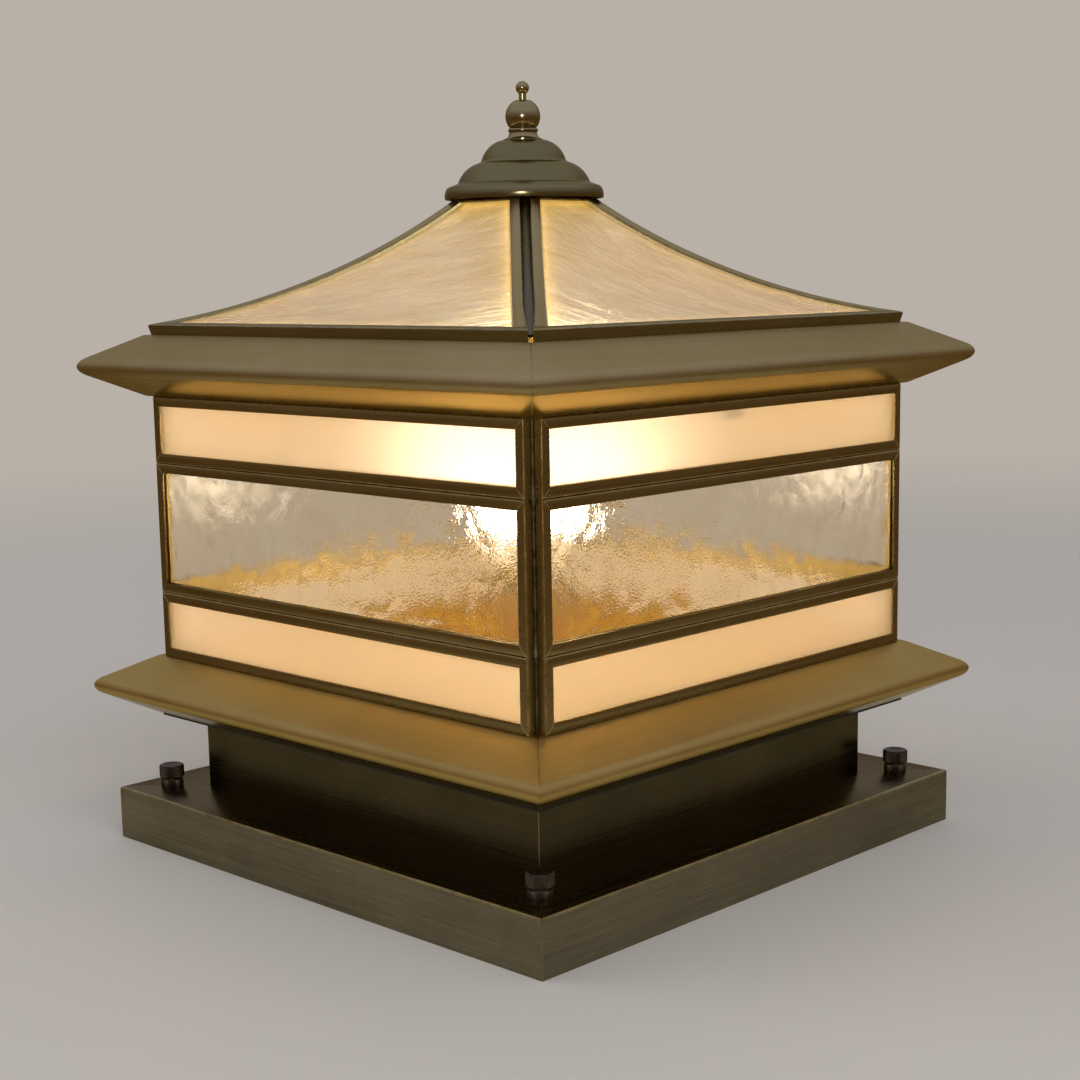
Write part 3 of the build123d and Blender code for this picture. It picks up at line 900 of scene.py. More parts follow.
@dataclass
class SheetBase:
    """Plinth and neck of mitred sheet, with the thin plate on top of them."""

    sheet: float = 1.2
    mitre_gap: float = 0.1
    seam: float = 0.22
    edge: float = 1.2
    edge_steps: int = 4
    neck_landing: float = 6.0
    rim: float = 0.5

    # Numbers of the finishes on the faces, after the front's own.
    SIDE = 1
    RUBBED = 2

    def mitred_round(self, profile: Sequence[Point], reach: float, edge: Point | None) -> BMesh:
        """Four mitred lengths of bent sheet.

        Args:
            profile: distance out and height of each bend.
            reach: half of a side's length.
            edge: bend that is rubbed round, if one is.

        Returns:
            The four lengths in one mesh.
        """
        lengths = []
        for side in Side:
            bm = bent_sheet(profile, reach)
            # The rubbed edge and the seams are partly wear and partly a painted highlight.
            if edge:
                bevel(bm, edges_at(bm, *edge), self.edge, self.edge_steps, self.RUBBED)
            bmesh.ops.solidify(bm, geom=bm.faces[:], thickness=self.sheet * MM)
            bmesh.ops.remove_doubles(bm, verts=bm.verts, dist=NEAR)
            mitre(bm, self.mitre_gap, self.seam, self.RUBBED)
            if side.grain is Grain.Y:
                paint_faces(bm, 0, self.SIDE)
            bmesh.ops.transform(bm, matrix=side.turn, verts=bm.verts)
            lengths.append(bm)
        return gather(lengths)

    def build(self) -> None:
        """Build the plinth and the neck, and dress the floor plate."""
        low, high = node_box("plinth")
        neck_low, neck_high = node_box("neck")
        finishes = [Brass.DARK.along(Grain.X), Brass.DARK.along(Grain.Y), WEAR_AND_SHEEN_BRASS]
        half, top = high.x, high.z
        landing = neck_high.x - self.sheet - self.neck_landing
        shape = [(half, low.z), (half, top), (landing, top)]
        plinth = self.mitred_round(shape, half, (half, top))
        add_piece(plinth, "mitred_plinth", "base", finishes, ["plinth"])
        upright = [(neck_high.x, neck_low.z), (neck_high.x, neck_high.z)]
        neck = self.mitred_round(upright, neck_high.x, None)
        # The neck takes the darkest tone, painted shade under the lower eave.
        finishes = [Brass.DEEP.along(Grain.X), Brass.DEEP.along(Grain.Y), WEAR_AND_SHEEN_BRASS]
        add_piece(neck, "soldered_neck", "base", finishes, ["neck"])
        # The floor plate takes the brass painted yellow as the bulb's glow, and its rim is painted near black
        # as shade under the lower eave.
        inside = node_box("floor_plate")[1].x - self.rim
        skin = BARE_GLOW_BRASS.dark, BARE_GLOW_BRASS.lit, BARE_GLOW_BRASS.roughness, BARE_GLOW_BRASS.spot
        dress("floor_plate", ShadeRimmedMetal("floor_glow_shade_brass", *skin, metal=BARE_GLOW_BRASS.metal, rim=inside))


@dataclass
class KnurledNuts:
    """Round nuts that hold the light down, with straight knurls on head and collar."""

    collar: Point = (11.2, 4.0)
    waist: Point = (9.8, 0.8)
    edge: float = 0.6
    ridges: int = 40
    ridge_depth: float = 0.32
    dish: float = 0.5
    dish_rim: float = 0.7
    dish_floor: float = 0.55

    def build(self) -> None:
        """Build one nut on each stud. The dish's two radii are shares of the head's."""
        for place in ("front_left", "front_right", "back_right", "back_left"):
            node = f"knurled_nut_{place}"
            low, high = node_box(node)
            head = (high.x - low.x) / 2
            height = high.z - low.z
            collar_radius, collar_top = self.collar[0] / 2, self.collar[1]
            waist_radius = self.waist[0] / 2
            waist_top = collar_top + self.waist[1]
            profile = [
                (0.0, 0.0),
                (collar_radius - self.edge / 2, 0.0),
                (collar_radius, self.edge / 2),
                (collar_radius, collar_top - self.edge / 2),
                (collar_radius - self.edge / 2, collar_top),
                (waist_radius, collar_top),
                (waist_radius, waist_top),
                (head - self.edge, waist_top),
                (head, waist_top + self.edge),
                (head, height - self.edge),
                (head - self.edge, height),
                (head * self.dish_rim, height),
                (head * self.dish_floor, height - self.dish),
                (0.0, height - self.dish),
            ]
            bm = lathe(profile, 2 * self.ridges)
            for vert in bm.verts:
                reach = math.hypot(vert.co.x, vert.co.y) / MM
                step = math.atan2(vert.co.y, vert.co.x) / (math.pi / self.ridges)
                knurled = min(abs(reach - head), abs(reach - collar_radius)) < NEAR / MM
                if knurled and round(step) % 2:
                    shrink = (reach - self.ridge_depth) / reach
                    vert.co.xy *= shrink
            foot = Vector(((low.x + high.x) / 2, (low.y + high.y) / 2, low.z))
            stood = Matrix.Translation(foot * MM)
            add_piece(bm, f"{node}_turned", f"nut_{place}", [DARK_BRONZE], [node], stood)


@dataclass
class EaveMoulding:
    """One of the two mouldings round the walls: sloped sheet with a round nose."""

    word: str
    body: str
    wall_half: float
    brass: Brass
    sheet: float = 1.2
    nose: float = 5.0
    nose_steps: int = 12
    flange: float = 9.0
    bend: float = 0.5
    bend_steps: int = 2
    mitre_gap: float = 0.0
    seam: float = 0.2
    down: float = -0.8

    # Numbers of the finishes on the faces, after the top's own.
    RUBBED = 1
    RAW = 2
    UNDER = 3

    def section(self, low: float, high: float, reach: float) -> tuple[list[Point], float]:
        """Bends of the moulding before its nose is rounded.

        Args:
            low: height of the underside.
            high: height of the top.
            reach: distance from the wall's face to the nose.

        Returns:
            The bends, and how far from the sharp nose its rounding starts.
        """
        half = (high - low) / 2
        run = reach - self.nose
        slope = math.atan2(half, run) - math.asin(self.nose / math.hypot(half, run))
        tip = self.wall_half + half / math.tan(slope)
        rim = self.wall_half - self.flange
        bends = [
            (rim, low),
            (self.wall_half, low),
            (tip, low + half),
            (self.wall_half, high),
            (rim, high),
        ]
        return bends, self.nose / math.tan(slope)

    def line(self, bm: BMesh, middle: Vector) -> None:
        """Give the faces that look into the moulding the bare brass painted yellow as the bulb's glow, and
        the underside smoother than the top.

        Args:
            bm: the bent sheet.
            middle: a point inside the moulding.
        """
        bmesh.ops.recalc_face_normals(bm, faces=bm.faces)
        for face in bm.faces:
            away = face.calc_center_median() - middle
            away.x = 0.0
            if face.normal.dot(away) < 0:
                face.material_index = self.RAW
            elif face.normal.z < self.down:
                face.material_index = self.UNDER

    def build(self) -> None:
        """Build the four lengths, each mitred to the next."""
        for side in Side:
            node = f"{self.word}_eave_{side.word}"
            low, high = node_box(node)
            nose_at = max(high.x, high.y, -low.x, -low.y)
            bends, start = self.section(low.z, high.z, nose_at - self.wall_half)
            _, under_bend, tip, top_bend, _ = bends
            bm = bent_sheet(bends, tip[0])
            bevel(bm, edges_at(bm, *tip), start, self.nose_steps, 0)
            for crease in (under_bend, top_bend):
                bevel(bm, edges_at(bm, *crease), self.bend, self.bend_steps, 0)
            bmesh.ops.solidify(bm, geom=bm.faces[:], thickness=self.sheet * MM)
            bmesh.ops.remove_doubles(bm, verts=bm.verts, dist=NEAR)
            self.line(bm, Vector((0.0, -under_bend[0], tip[1])) * MM)
            # The mitre seams are partly wear and partly a painted highlight.
            mitre(bm, self.mitre_gap, self.seam, self.RUBBED)
            top, under = self.brass.along(side.grain), Brass.SMOOTH.along(side.grain)
            finishes = [top, WEAR_AND_SHEEN_BRASS, BARE_GLOW_BRASS, under]
            add_piece(bm, f"{node}_moulding", self.body, finishes, [node], side.turn)


@dataclass
class WallPanels:
    """Three framed panes on each side: opal below and above, hammered glass between."""

    face: float = 4.8
    wall: float = 1.0
    depth: float = 5.15
    inner_share: float = 0.6
    roll: float = 0.8
    roll_steps: int = 4
    lip: float = 0.3
    lip_steps: int = 2
    mitre_gap: float = 0.1
    seam: float = 0.18
    grid: float = 0.9
    lobe: float = 11.5
    lobe_stretch: float = 1.35
    lobe_bend: float = 0.25
    lobe_depth: float = 0.7
    lobe_rim: float = 0.5
    ripple: float = 6.0
    ripple_stretch: float = 1.5
    ripple_depth: float = 0.05
    bend_shift: float = 3.0
    ripple_shift: float = 5.0
    seed_start: float = 10.0
    seed_step: float = 7.0

    # Numbers of the finishes on the faces, after those of the level and the upright rails.
    EDGE = 2
    INNER = 3

    def rail(self, length: float, number: int) -> BMesh:
        """One length of U channel along X, its outer face at y 0 and its outer edge at z 0.

        Args:
            length: the frame's size along the rail.
            number: material number of the brushed faces.

        Returns:
            The rail, mitred at both ends.
        """
        section = [
            (0.0, 0.0),
            (self.face, 0.0),
            (self.face, self.wall),
            (self.wall, self.wall),
            (self.wall, self.depth - self.wall),
            (self.face, self.depth - self.wall),
            (self.face, self.depth),
            (0.0, self.depth),
        ]
        bm = bmesh.new()
        verts = [bm.verts.new((-length / 2 * MM, deep * MM, across * MM)) for across, deep in section]
        grown = bmesh.ops.extrude_face_region(bm, geom=[bm.faces.new(verts)])["geom"]
        bmesh.ops.translate(bm, verts=verts_of(grown), vec=(length * MM, 0.0, 0.0))
        # The back faces, towards the bulb, take the brass painted yellow as its glow.
        for face in bm.faces:
            inner = face.calc_center_median().y > (self.depth - self.inner_share * self.wall) * MM
            face.material_index = self.INNER if inner else number
        bevel(bm, edges_at(bm, 0.0, 0.0), self.roll, self.roll_steps, self.EDGE)
        bevel(bm, edges_at(bm, 0.0, self.face), self.lip, self.lip_steps, number)
        for hand in (1, -1):
            end = Vector((hand * (length - self.mitre_gap) / 2 * MM, 0.0, 0.0))
            rim = cut_off(bm, end, Vector((hand, 0.0, 1.0)).normalized())
            bevel(bm, rim, self.seam, 1, self.EDGE)
        bmesh.ops.recalc_face_normals(bm, faces=bm.faces)
        return bm

    def frame(self, width: float, height: float) -> BMesh:
        """Four rails round a pane that is centred on the origin.

        Args:
            width: the frame's size along the side.
            height: the frame's height.

        Returns:
            The rails in one mesh.
        """
        rails = []
        for quarter in range(4):
            length, across = (width, height) if quarter % 2 == 0 else (height, width)
            bm = self.rail(length, quarter % 2)
            turn = Matrix.Rotation(quarter * math.pi / 2, 4, "Y")
            place = turn @ Matrix.Translation((0, 0, -across / 2 * MM))
            bmesh.ops.transform(bm, matrix=place, verts=bm.verts)
            rails.append(bm)
        return gather(rails)

    def relief(self, spot: Vector, seed: float) -> float:
        """Height of the hammered surface.

        Args:
            spot: place on the pane, along and up, in millimetres.
            seed: shift of the pattern, so that panes differ.

        Returns:
            Height in millimetres.
        """
        wide, tall = spot.x / self.lobe, spot.y / self.lobe
        bend = self.lobe_bend * noise.noise(Vector((wide, tall, seed * self.bend_shift)))
        cell = Vector((wide + seed + bend, tall / self.lobe_stretch - bend, seed))
        away, _ = noise.voronoi(cell, distance_metric="DISTANCE_SQUARED")
        wide, tall = spot.x / self.ripple, spot.y / (self.ripple_stretch * self.ripple)
        fine = noise.noise(Vector((wide, tall, seed * self.ripple_shift)))
        return self.lobe_depth * min(away[0], self.lobe_rim) + self.ripple_depth * fine

    def hammered_pane(self, width: float, height: float, thickness: float, seed: float) -> BMesh:
        """Slab of hammered glass, its relief inwards, centred on the origin.

        Args:
            width: size along the side.
            height: the slab's height.
            thickness: the slab's thickness.
            seed: shift of the pattern.

        Returns:
            The slab.
        """
        bm = bmesh.new()
        across, up = round(width / self.grid), round(height / self.grid)
        bmesh.ops.create_grid(bm, x_segments=across, y_segments=up, size=0.5)
        for vert in bm.verts:
            spot = Vector((vert.co.x * width, vert.co.y * height))
            inside = min(width / 2 - abs(spot.x), height / 2 - abs(spot.y)) - self.face
            fade = max(0.0, min(1.0, inside / self.face + 0.5))
            rise = self.relief(spot, seed) * fade
            vert.co = Vector((spot.x, thickness / 2 + rise, spot.y)) * MM
        front = bmesh.ops.extrude_face_region(bm, geom=bm.faces[:])["geom"]
        for vert in verts_of(front):
            vert.co.y = -thickness / 2 * MM
        bmesh.ops.recalc_face_normals(bm, faces=bm.faces)
        return bm

    def build(self) -> None:
        """Build the frames and the hammered panes, and dress the opal ones."""
        for side in Side:
            back = side.turn.inverted()
            level, upright = Brass.CAME.along(side.grain), Brass.CAME.along(Grain.Z)
            finishes = [level, upright, CAME_EDGE, INNER_GLOW_BRASS]
            for band in ("lower", "middle", "upper"):
                node = f"{side.word}_{band}_frame"
                low, high = [back @ corner for corner in node_box(node)]
                width, height = abs(high.x - low.x), high.z - low.z
                outer = min(low.y, high.y)
                place = side.turn @ Matrix.Translation(Vector((0, outer, low.z + height / 2)) * MM)
                bm = self.frame(width, height)
                add_piece(bm, f"{node}_cames", "base", finishes, [node], place)
                pane = f"{side.word}_{band}_pane"
                if band != "middle":
                    dress(pane, opal(side.grain))
                    continue
                low, high = [back @ corner for corner in node_box(pane)]
                width, thickness, height = (abs(far - near) for near, far in zip(low, high))
                seed = self.seed_start + self.seed_step * side.value
                bm = self.hammered_pane(width, height, thickness, seed)
                place = side.turn @ Matrix.Translation((low + high) / 2 * MM)
                add_piece(bm, f"{pane}_hammered", "base", [HAMMERED], [pane], place)


@dataclass
class CornerSeams:
    """Beads of solder in the notches between the walls, with a blob where two frames meet."""

    radius: float = 1.3
    slack: float = 0.195
    blob: float = 0.9
    blob_height: float = 1.8
    lump: float = 0.25
    lump_length: float = 9.0
    seed_step: float = 3.0
    ring: float = 1.5
    steps: int = 16

    def bead(self, low: float, high: float, joints: Sequence[float], seed: float) -> BMesh:
        """One bead along the upright axis, uneven as solder runs.

        Args:
            low: height of its foot.
            high: height of its head.
            joints: heights where two frames meet.
            seed: shift of the unevenness.

        Returns:
            The bead.
        """
        count = round((high - low) / self.ring)
        heights = [low + (high - low) * step / count for step in range(count + 1)]
        profile = [(0.0, low)]
        for height in heights:
            reaches = [(height - joint) / self.blob_height for joint in joints]
            swell = sum(self.blob * math.exp(-reach ** 2) for reach in reaches)
            lump = self.lump * noise.noise(Vector((height / self.lump_length, seed, 0.0)))
            profile.append((self.radius - self.slack + lump + swell, height))
        profile.append((0.0, high))
        return lathe(profile, self.steps)

    def build(self) -> None:
        """Build the four beads."""
        low, high = node_box("corner_seams")
        joints = [corner.z for corner in node_box("front_middle_frame")]
        corner = high.x - self.radius
        beads = []
        for side in Side:
            bm = self.bead(low.z, high.z, joints, self.seed_step * side.value)
            spot = side.turn @ Vector((corner, -corner, 0.0))
            bmesh.ops.translate(bm, verts=bm.verts, vec=spot * MM)
            beads.append(bm)
        add_piece(gather(beads), "corner_solder", "base", [SOLDER], ["corner_seams"])


@dataclass
class GlassRoof:
    """Four hollow-curved panes, each in its frame of channel, with a groove along every hip."""

    foot: float
    half: float = 132.4
    top_half: float = 24.0
    rise: float = 60.0
    sag: float = 9.0
    depth: float = 5.15
    face: float = 4.8
    hip_gap: float = 4.8
    hip_foot_gap: float = 1.8
    hip_taper: float = 45.0
    glass: float = 3.0
    inset: float = 1.075
    roll: float = 0.6
    roll_steps: int = 3
    steps: int = 28
    across: int = 56
    wave: float = 0.25
    wave_length: float = 16.0
    seed_step: float = 5.0
    glow_reach: float = 3.0
    taper_tries: int = 4

    # Numbers of the finishes on the faces: the rolled edge's, and those from hip to hip.
    ROLLED = 1
    LANES = (3, 0, 2)

    def __post_init__(self) -> None:
        """Work out the roof's curve from its foot, head and sag."""
        run = self.half - self.top_half
        chord = math.hypot(run, self.rise)
        self.radius = (chord * chord / 4 + self.sag * self.sag) / (2 * self.sag)
        swing = math.asin(chord / 2 / self.radius)
        self.low_slope = math.atan2(self.rise, run) - swing
        self.high_slope = math.atan2(self.rise, run) + swing
        self.foot += self.depth * math.cos(self.low_slope)

    def curve(self, slope: float, deep: float) -> Point:
        """Distance out and height of the roof at a slope.

        Args:
            slope: slope of the curve there, in radians.
            deep: depth under the roof's outer face.

        Returns:
            Distance out from the axis and height.
        """
        reach = self.radius + deep
        out = self.half + self.radius * math.sin(self.low_slope) - reach * math.sin(slope)
        return out, self.foot + self.radius * math.cos(self.low_slope) - reach * math.cos(slope)

    def groove_at(self, out: float) -> float:
        """Distance along a side from its middle to the hip's groove, at a distance out."""
        tip = self.half * math.sqrt(2)
        along = out
        for _ in range(self.taper_tries):
            shut = 1 - (tip - (along + out) / math.sqrt(2)) / self.hip_taper
            gap = self.hip_gap + (self.hip_foot_gap - self.hip_gap) * max(0.0, shut)
            along = out - gap / math.sqrt(2)
        return along

    def slopes(self, margin: float) -> list[float]:
        """Slopes of the curve's rows between margins from its foot and head."""
        low = self.low_slope + margin / self.radius
        high = self.high_slope - margin / self.radius
        return [low + (high - low) * step / self.steps for step in range(self.steps + 1)]

    def lanes(self, out: float) -> list[float]:
        """Distances along a side of the hip's groove and the window at both ends, at a distance out."""
        window = out - (self.hip_gap / 2 + self.face) * math.sqrt(2)
        return [-self.groove_at(out), -window, window, self.groove_at(out)]

    def frame(self) -> BMesh:
        """Channel round one pane: a straight foot and head between two curved hips.

        Returns:
            The channel as a closed band.
        """
        bm = bmesh.new()
        slopes = [self.low_slope, *self.slopes(self.face), self.high_slope]
        under = {}
        rows = []
        for slope in slopes:
            out, height = self.curve(slope, 0.0)
            low_out, low_height = self.curve(slope, self.depth)
            row = [bm.verts.new(Vector((along, -out, height)) * MM) for along in self.lanes(out)]
            for vert, along in zip(row, self.lanes(low_out)):
                under[vert] = bm.verts.new(Vector((along, -low_out, low_height)) * MM)
            rows.append(row)
        for place, (row, next_row) in enumerate(zip(rows, rows[1:])):
            beside_window = 0 < place < len(slopes) - 2
            for lane, hip in enumerate(self.LANES):
                if beside_window and not hip:
                    continue
                corners = [row[lane], row[lane + 1], next_row[lane + 1], next_row[lane]]
                number = hip if beside_window else 0
                bm.faces.new(corners).material_index = number
                bm.faces.new([under[vert] for vert in reversed(corners)]).material_index = number
        rims = [edge for edge in bm.edges if edge.is_boundary and edge.verts[0] in under]
        for edge in rims:
            first, last = edge.verts
            wall = bm.faces.new((first, last, under[last], under[first]))
            wall.material_index = edge.link_faces[0].material_index
        bmesh.ops.recalc_face_normals(bm, faces=bm.faces)
        # The rolled edges take the rubbed brass: partly wear, partly a painted highlight.
        bevel(bm, rims, self.roll, self.roll_steps, self.ROLLED)
        return bm

    def pane(self, seed: float) -> BMesh:
        """Wavy pane of streaky glass, which notes how near each spot is to its channel, for the painted glow
        there.

        Args:
            seed: shift of the waves.

        Returns:
            The pane.
        """
        bm = bmesh.new()
        glow = bm.verts.layers.float.new(PAINTED_EDGE_GLOW)
        slopes = self.slopes(self.inset)
        margin = (self.hip_gap / 2 + self.inset) * math.sqrt(2)
        hidden = self.face - self.inset
        rows = []
        for slope in slopes:
            out, height = self.curve(slope, self.inset)
            end = min(slope - slopes[0], slopes[-1] - slope) * self.radius
            row = []
            for lane in range(self.across + 1):
                share = 2 * lane / self.across - 1
                vert = bm.verts.new(Vector((share * (out - margin), -out, height)) * MM)
                side = (1 - abs(share)) * (out - margin) / math.sqrt(2)
                vert[glow] = math.exp((hidden - min(side, end)) / self.glow_reach)
                row.append(vert)
            rows.append(row)
        for row, next_row in zip(rows, rows[1:]):
            for lane in range(self.across):
                bm.faces.new((row[lane], row[lane + 1], next_row[lane + 1], next_row[lane]))
        bm.normal_update()
        for vert in bm.verts:
            lift = noise.noise(vert.co / (self.wave_length * MM) + Vector((seed, seed, seed)))
            vert.co += vert.normal * lift * self.wave * MM
        bmesh.ops.solidify(bm, geom=bm.faces[:], thickness=self.glass * MM)
        bmesh.ops.recalc_face_normals(bm, faces=bm.faces)
        return bm

    def build(self) -> None:
        """Build the frames and the panes, and dress the hip strips."""
        for side in Side:
            frame_node, pane_node = f"roof_frame_{side.word}", f"roof_pane_{side.word}"
            bm = self.frame()
            hips = [Brass.SATIN.along(grain) for grain in side.hips]
            # The foot and head take the roof tone, painted darker as shade.
            finishes = [Brass.ROOF.along(side.grain), WEAR_AND_SHEEN_BRASS, *hips]
            add_piece(bm, f"{frame_node}_cames", "roof", finishes, [frame_node], side.turn)
            bm = self.pane(self.seed_step * side.value)
            add_piece(bm, f"{pane_node}_streaky", "roof", [STREAKY], [pane_node], side.turn)
        # The hip strips are painted dark as the shade in the grooves.
        dress("hip_strips", GROOVE_SHADE_BRASS)


@dataclass
class SpunCap:
    """Round cap spun from sheet: a rolled rim, a ledge and two bells."""

    sheet: float = 1.2
    rim_height: float = 5.7
    rim_lean: float = 1.3
    rim_bulge: float = 0.7
    rim_steps: int = 8
    ledge: float = 1.9
    lower_radius: float = 32.3
    lower_height: float = 9.8
    step: float = 1.0
    upper_radius: float = 20.6
    upper_height: float = 9.4
    top_radius: float = 11.5
    hole: float = 2.8
    bulge: float = 0.13
    bell_steps: tuple[int, int] = (14, 12)
    edge: float = 0.4
    edge_steps: int = 2
    thinned: float = 0.6
    steps: int = 128

    def bell(self, foot: Point, head: Point, steps: int) -> list[Point]:
        """Points of a bell after its foot. Its bulge is a share of its chord."""
        return bulged(foot, head, self.bulge * math.dist(foot, head), steps)

    def build(self) -> None:
        """Turn the cap and round its edges."""
        low, high = node_box("roof_cap")
        base = low.z
        rim = high.x - self.rim_lean / 4
        rim_top = (rim - self.rim_lean, base + self.rim_height)
        lower_foot = (self.lower_radius, base + self.rim_height + self.ledge)
        lower_head = (self.upper_radius + self.step, lower_foot[1] + self.lower_height)
        upper_foot = (self.upper_radius, lower_head[1] + self.step)
        upper_head = (self.top_radius, upper_foot[1] + self.upper_height)
        profile = [(rim - self.sheet, base), (rim, base)]
        profile += bulged(profile[-1], rim_top, self.rim_bulge, self.rim_steps)
        bells = ((lower_foot, lower_head), (upper_foot, upper_head))
        for (foot, head), steps in zip(bells, self.bell_steps):
            profile += [foot, *self.bell(foot, head, steps)]
        profile.append((self.hole, upper_head[1]))
        bm = lathe(profile, self.steps)
        for radius, height in (rim_top, lower_foot, lower_head, upper_foot):
            bevel(bm, edges_at(bm, radius, height, turned=True), self.edge, self.edge_steps, 0)
        bm.normal_update()
        bmesh.ops.solidify(bm, geom=bm.faces[:], thickness=self.sheet * self.thinned * MM)
        add_piece(bm, "spun_roof_cap", "roof", [TURNED_BRASS], ["roof_cap"])


@dataclass
class TurnedFinial:
    """Turned brass nut on top: foot, cove, ring, ball, stem and tip."""

    foot_radius: float = 9.6
    foot_height: float = 0.7
    foot_edge: float = 0.2
    foot_play: float = 0.05
    cove_radius: float = 6.8
    cove_height: float = 3.1
    cove_hollow: float = 0.8
    ring_radius: float = 7.3
    ring_height: float = 2.2
    groove: float = 0.6
    ball_radius: float = 8.5
    ball_below: float = 4.9
    ball_above: float = 7.6
    stem_radius: float = 1.8
    collar_radius: float = 2.3
    tip_radius: float = 3.25
    bend_steps: int = 8
    ball_steps: int = 22
    tip_steps: int = 14
    steps: int = 96

    def build(self) -> None:
        """Turn the finial."""
        low, high = node_box("finial")
        foot_top = low.z + self.foot_height
        ring_base = foot_top + self.cove_height
        ring_top = ring_base + self.ring_height
        ring_neck = self.ring_radius - self.ring_height / 2
        ball = (0.0, ring_top + self.groove + self.ball_below)
        ball_start = -math.degrees(math.asin(self.ball_below / self.ball_radius))
        ball_end = math.degrees(math.asin(self.ball_above / self.ball_radius))
        tip = (0.0, high.z - self.tip_radius)
        tip_start = -math.degrees(math.acos(self.collar_radius / self.tip_radius))
        tip_foot = tip[1] + self.tip_radius * math.sin(math.radians(tip_start))
        foot = low.z + self.foot_play
        rim = (self.foot_radius, foot + self.foot_edge)
        profile = [(0.0, foot), (self.foot_radius - self.foot_edge, foot), rim, (self.foot_radius, foot_top)]
        profile += bulged(profile[-1], (self.cove_radius, ring_base), -self.cove_hollow, self.bend_steps)
        profile.append((ring_neck, ring_base))
        profile += bulged(profile[-1], (ring_neck, ring_top), self.ring_height / 2, self.bend_steps)
        profile += arc_about(ball, self.ball_radius, ball_start, ball_end, self.ball_steps)
        profile.append((self.stem_radius, ball[1] + self.ball_above))
        profile.append((self.stem_radius, tip_foot - (self.collar_radius - self.stem_radius)))
        profile += arc_about(tip, self.tip_radius, tip_start, 90.0, self.tip_steps)
        bm = lathe(profile, self.steps)
        add_piece(bm, "turned_finial", "finial", [FINIAL_BRASS], ["finial"])


@dataclass
class Bulb:
    """Pear-shaped frosted bulb with its screw cap."""

    radius: float = 30.0
    neck: float = 17.0
    thread_pitch: float = 3.4
    thread_depth: float = 0.8
    thread_steps: int = 8
    contact_radius: float = 4.5
    contact_height: float = 2.0
    insulator: float = 4.0
    shell_radius: float = 13.2
    shell_height: float = 20.0
    housing: float = 16.0
    glow: str = "#ffefd8"
    strength: Point = (0.6, 162.0)
    crown_steps: int = 32
    steps: int = 72

    def globe(self, base: float, top: float) -> BMesh:
        """Globe with a straight cone from its neck to its round part.

        Args:
            base: height of the neck.
            top: height of the crown.

        Returns:
            The globe.
        """
        middle = top - self.radius
        rise = middle - base
        lean = math.atan2(rise, -self.neck) - math.asin(self.radius / math.hypot(self.neck, rise))
        profile = [(0.0, base), (self.neck, base)]
        profile += arc_about((0.0, middle), self.radius, math.degrees(lean) - 90.0, 90.0, self.crown_steps)
        return lathe(profile, self.steps)

    def cap(self, tip: float, top: float) -> BMesh:
        """Screw cap with its contact, thread and housing.

        Args:
            tip: height of the contact.
            top: height of the housing's upper edge.

        Returns:
            The cap.
        """
        shell = tip + self.contact_height + self.insulator
        profile = [(0.0, tip), (self.contact_radius, tip), (self.contact_radius, tip + self.contact_height)]
        points = round(self.shell_height / self.thread_pitch * self.thread_steps)
        for step in range(points + 1):
            wave = (1 + math.cos(step * 2 * math.pi / self.thread_steps)) / 2
            height = shell + self.shell_height * step / points
            profile.append((self.shell_radius - self.thread_depth * wave, height))
        profile += [(self.neck, top), (0.0, top)]
        return lathe(profile, self.steps)

    def build(self) -> None:
        """Build the globe and the cap."""
        low, high = node_box("bulb_globe")
        dim_end, full_start = low.z + self.housing, high.z - self.radius
        glass = FrostedBulb("frosted_bulb_glass", self.glow, dim_end, full_start, self.strength)
        add_piece(self.globe(low.z, high.z), "frosted_bulb_globe", "bulb", [glass], ["bulb_globe"])
        low, high = node_box("bulb_cap")
        cap = self.cap(low.z, high.z)
        add_piece(cap, "screw_bulb_cap", "bulb", [CAP_NICKEL], ["bulb_cap"])


def dress_inner_works() -> None:
    """Dress the pieces inside and underneath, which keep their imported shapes."""
    for node in ("mounting_plate", "mounting_studs", "crossbar", "tie_rod"):
        dress(node, ZINC)
    for node in ("lampholder", "lampholder_bracket"):
        dress(node, HOLDER_BRASS)
    dress("cable_grommet", RUBBER)


@dataclass(frozen=True)
class Lamp:
    """Soft square lamp that points at the light, its place and size in metres."""

    name: str
    place: tuple[float, float, float]
    size: float
    watts: float
    mirrored: bool

    def hang(self, target: Vector) -> None:
        """Hang the lamp.

        Args:
            target: where it points, in metres.
        """
        data = bpy.data.lights.new(self.name, "AREA")
        data.size = self.size
        data.energy = self.watts
        lamp = bpy.data.objects.new(self.name, data)
        place = Vector(self.place)
        aim = (target - place).to_track_quat("-Z", "Y").to_matrix().to_4x4()
        lamp.matrix_world = Matrix.Translation(place) @ aim
        lamp.visible_glossy = self.mirrored
        bpy.context.scene.collection.objects.link(lamp)


# Only the window is mirrored in metal and glass.
LAMPS = (
    Lamp("key_lamp", (1.5, -0.6, 1.6), 1.2, 12.0, False),
    Lamp("side_lamp", (-1.6, -1.2, 1.1), 1.4, 8.0, False),
    Lamp("window", (1.1, -1.3, 0.43), 0.3, 4.0, True),
)


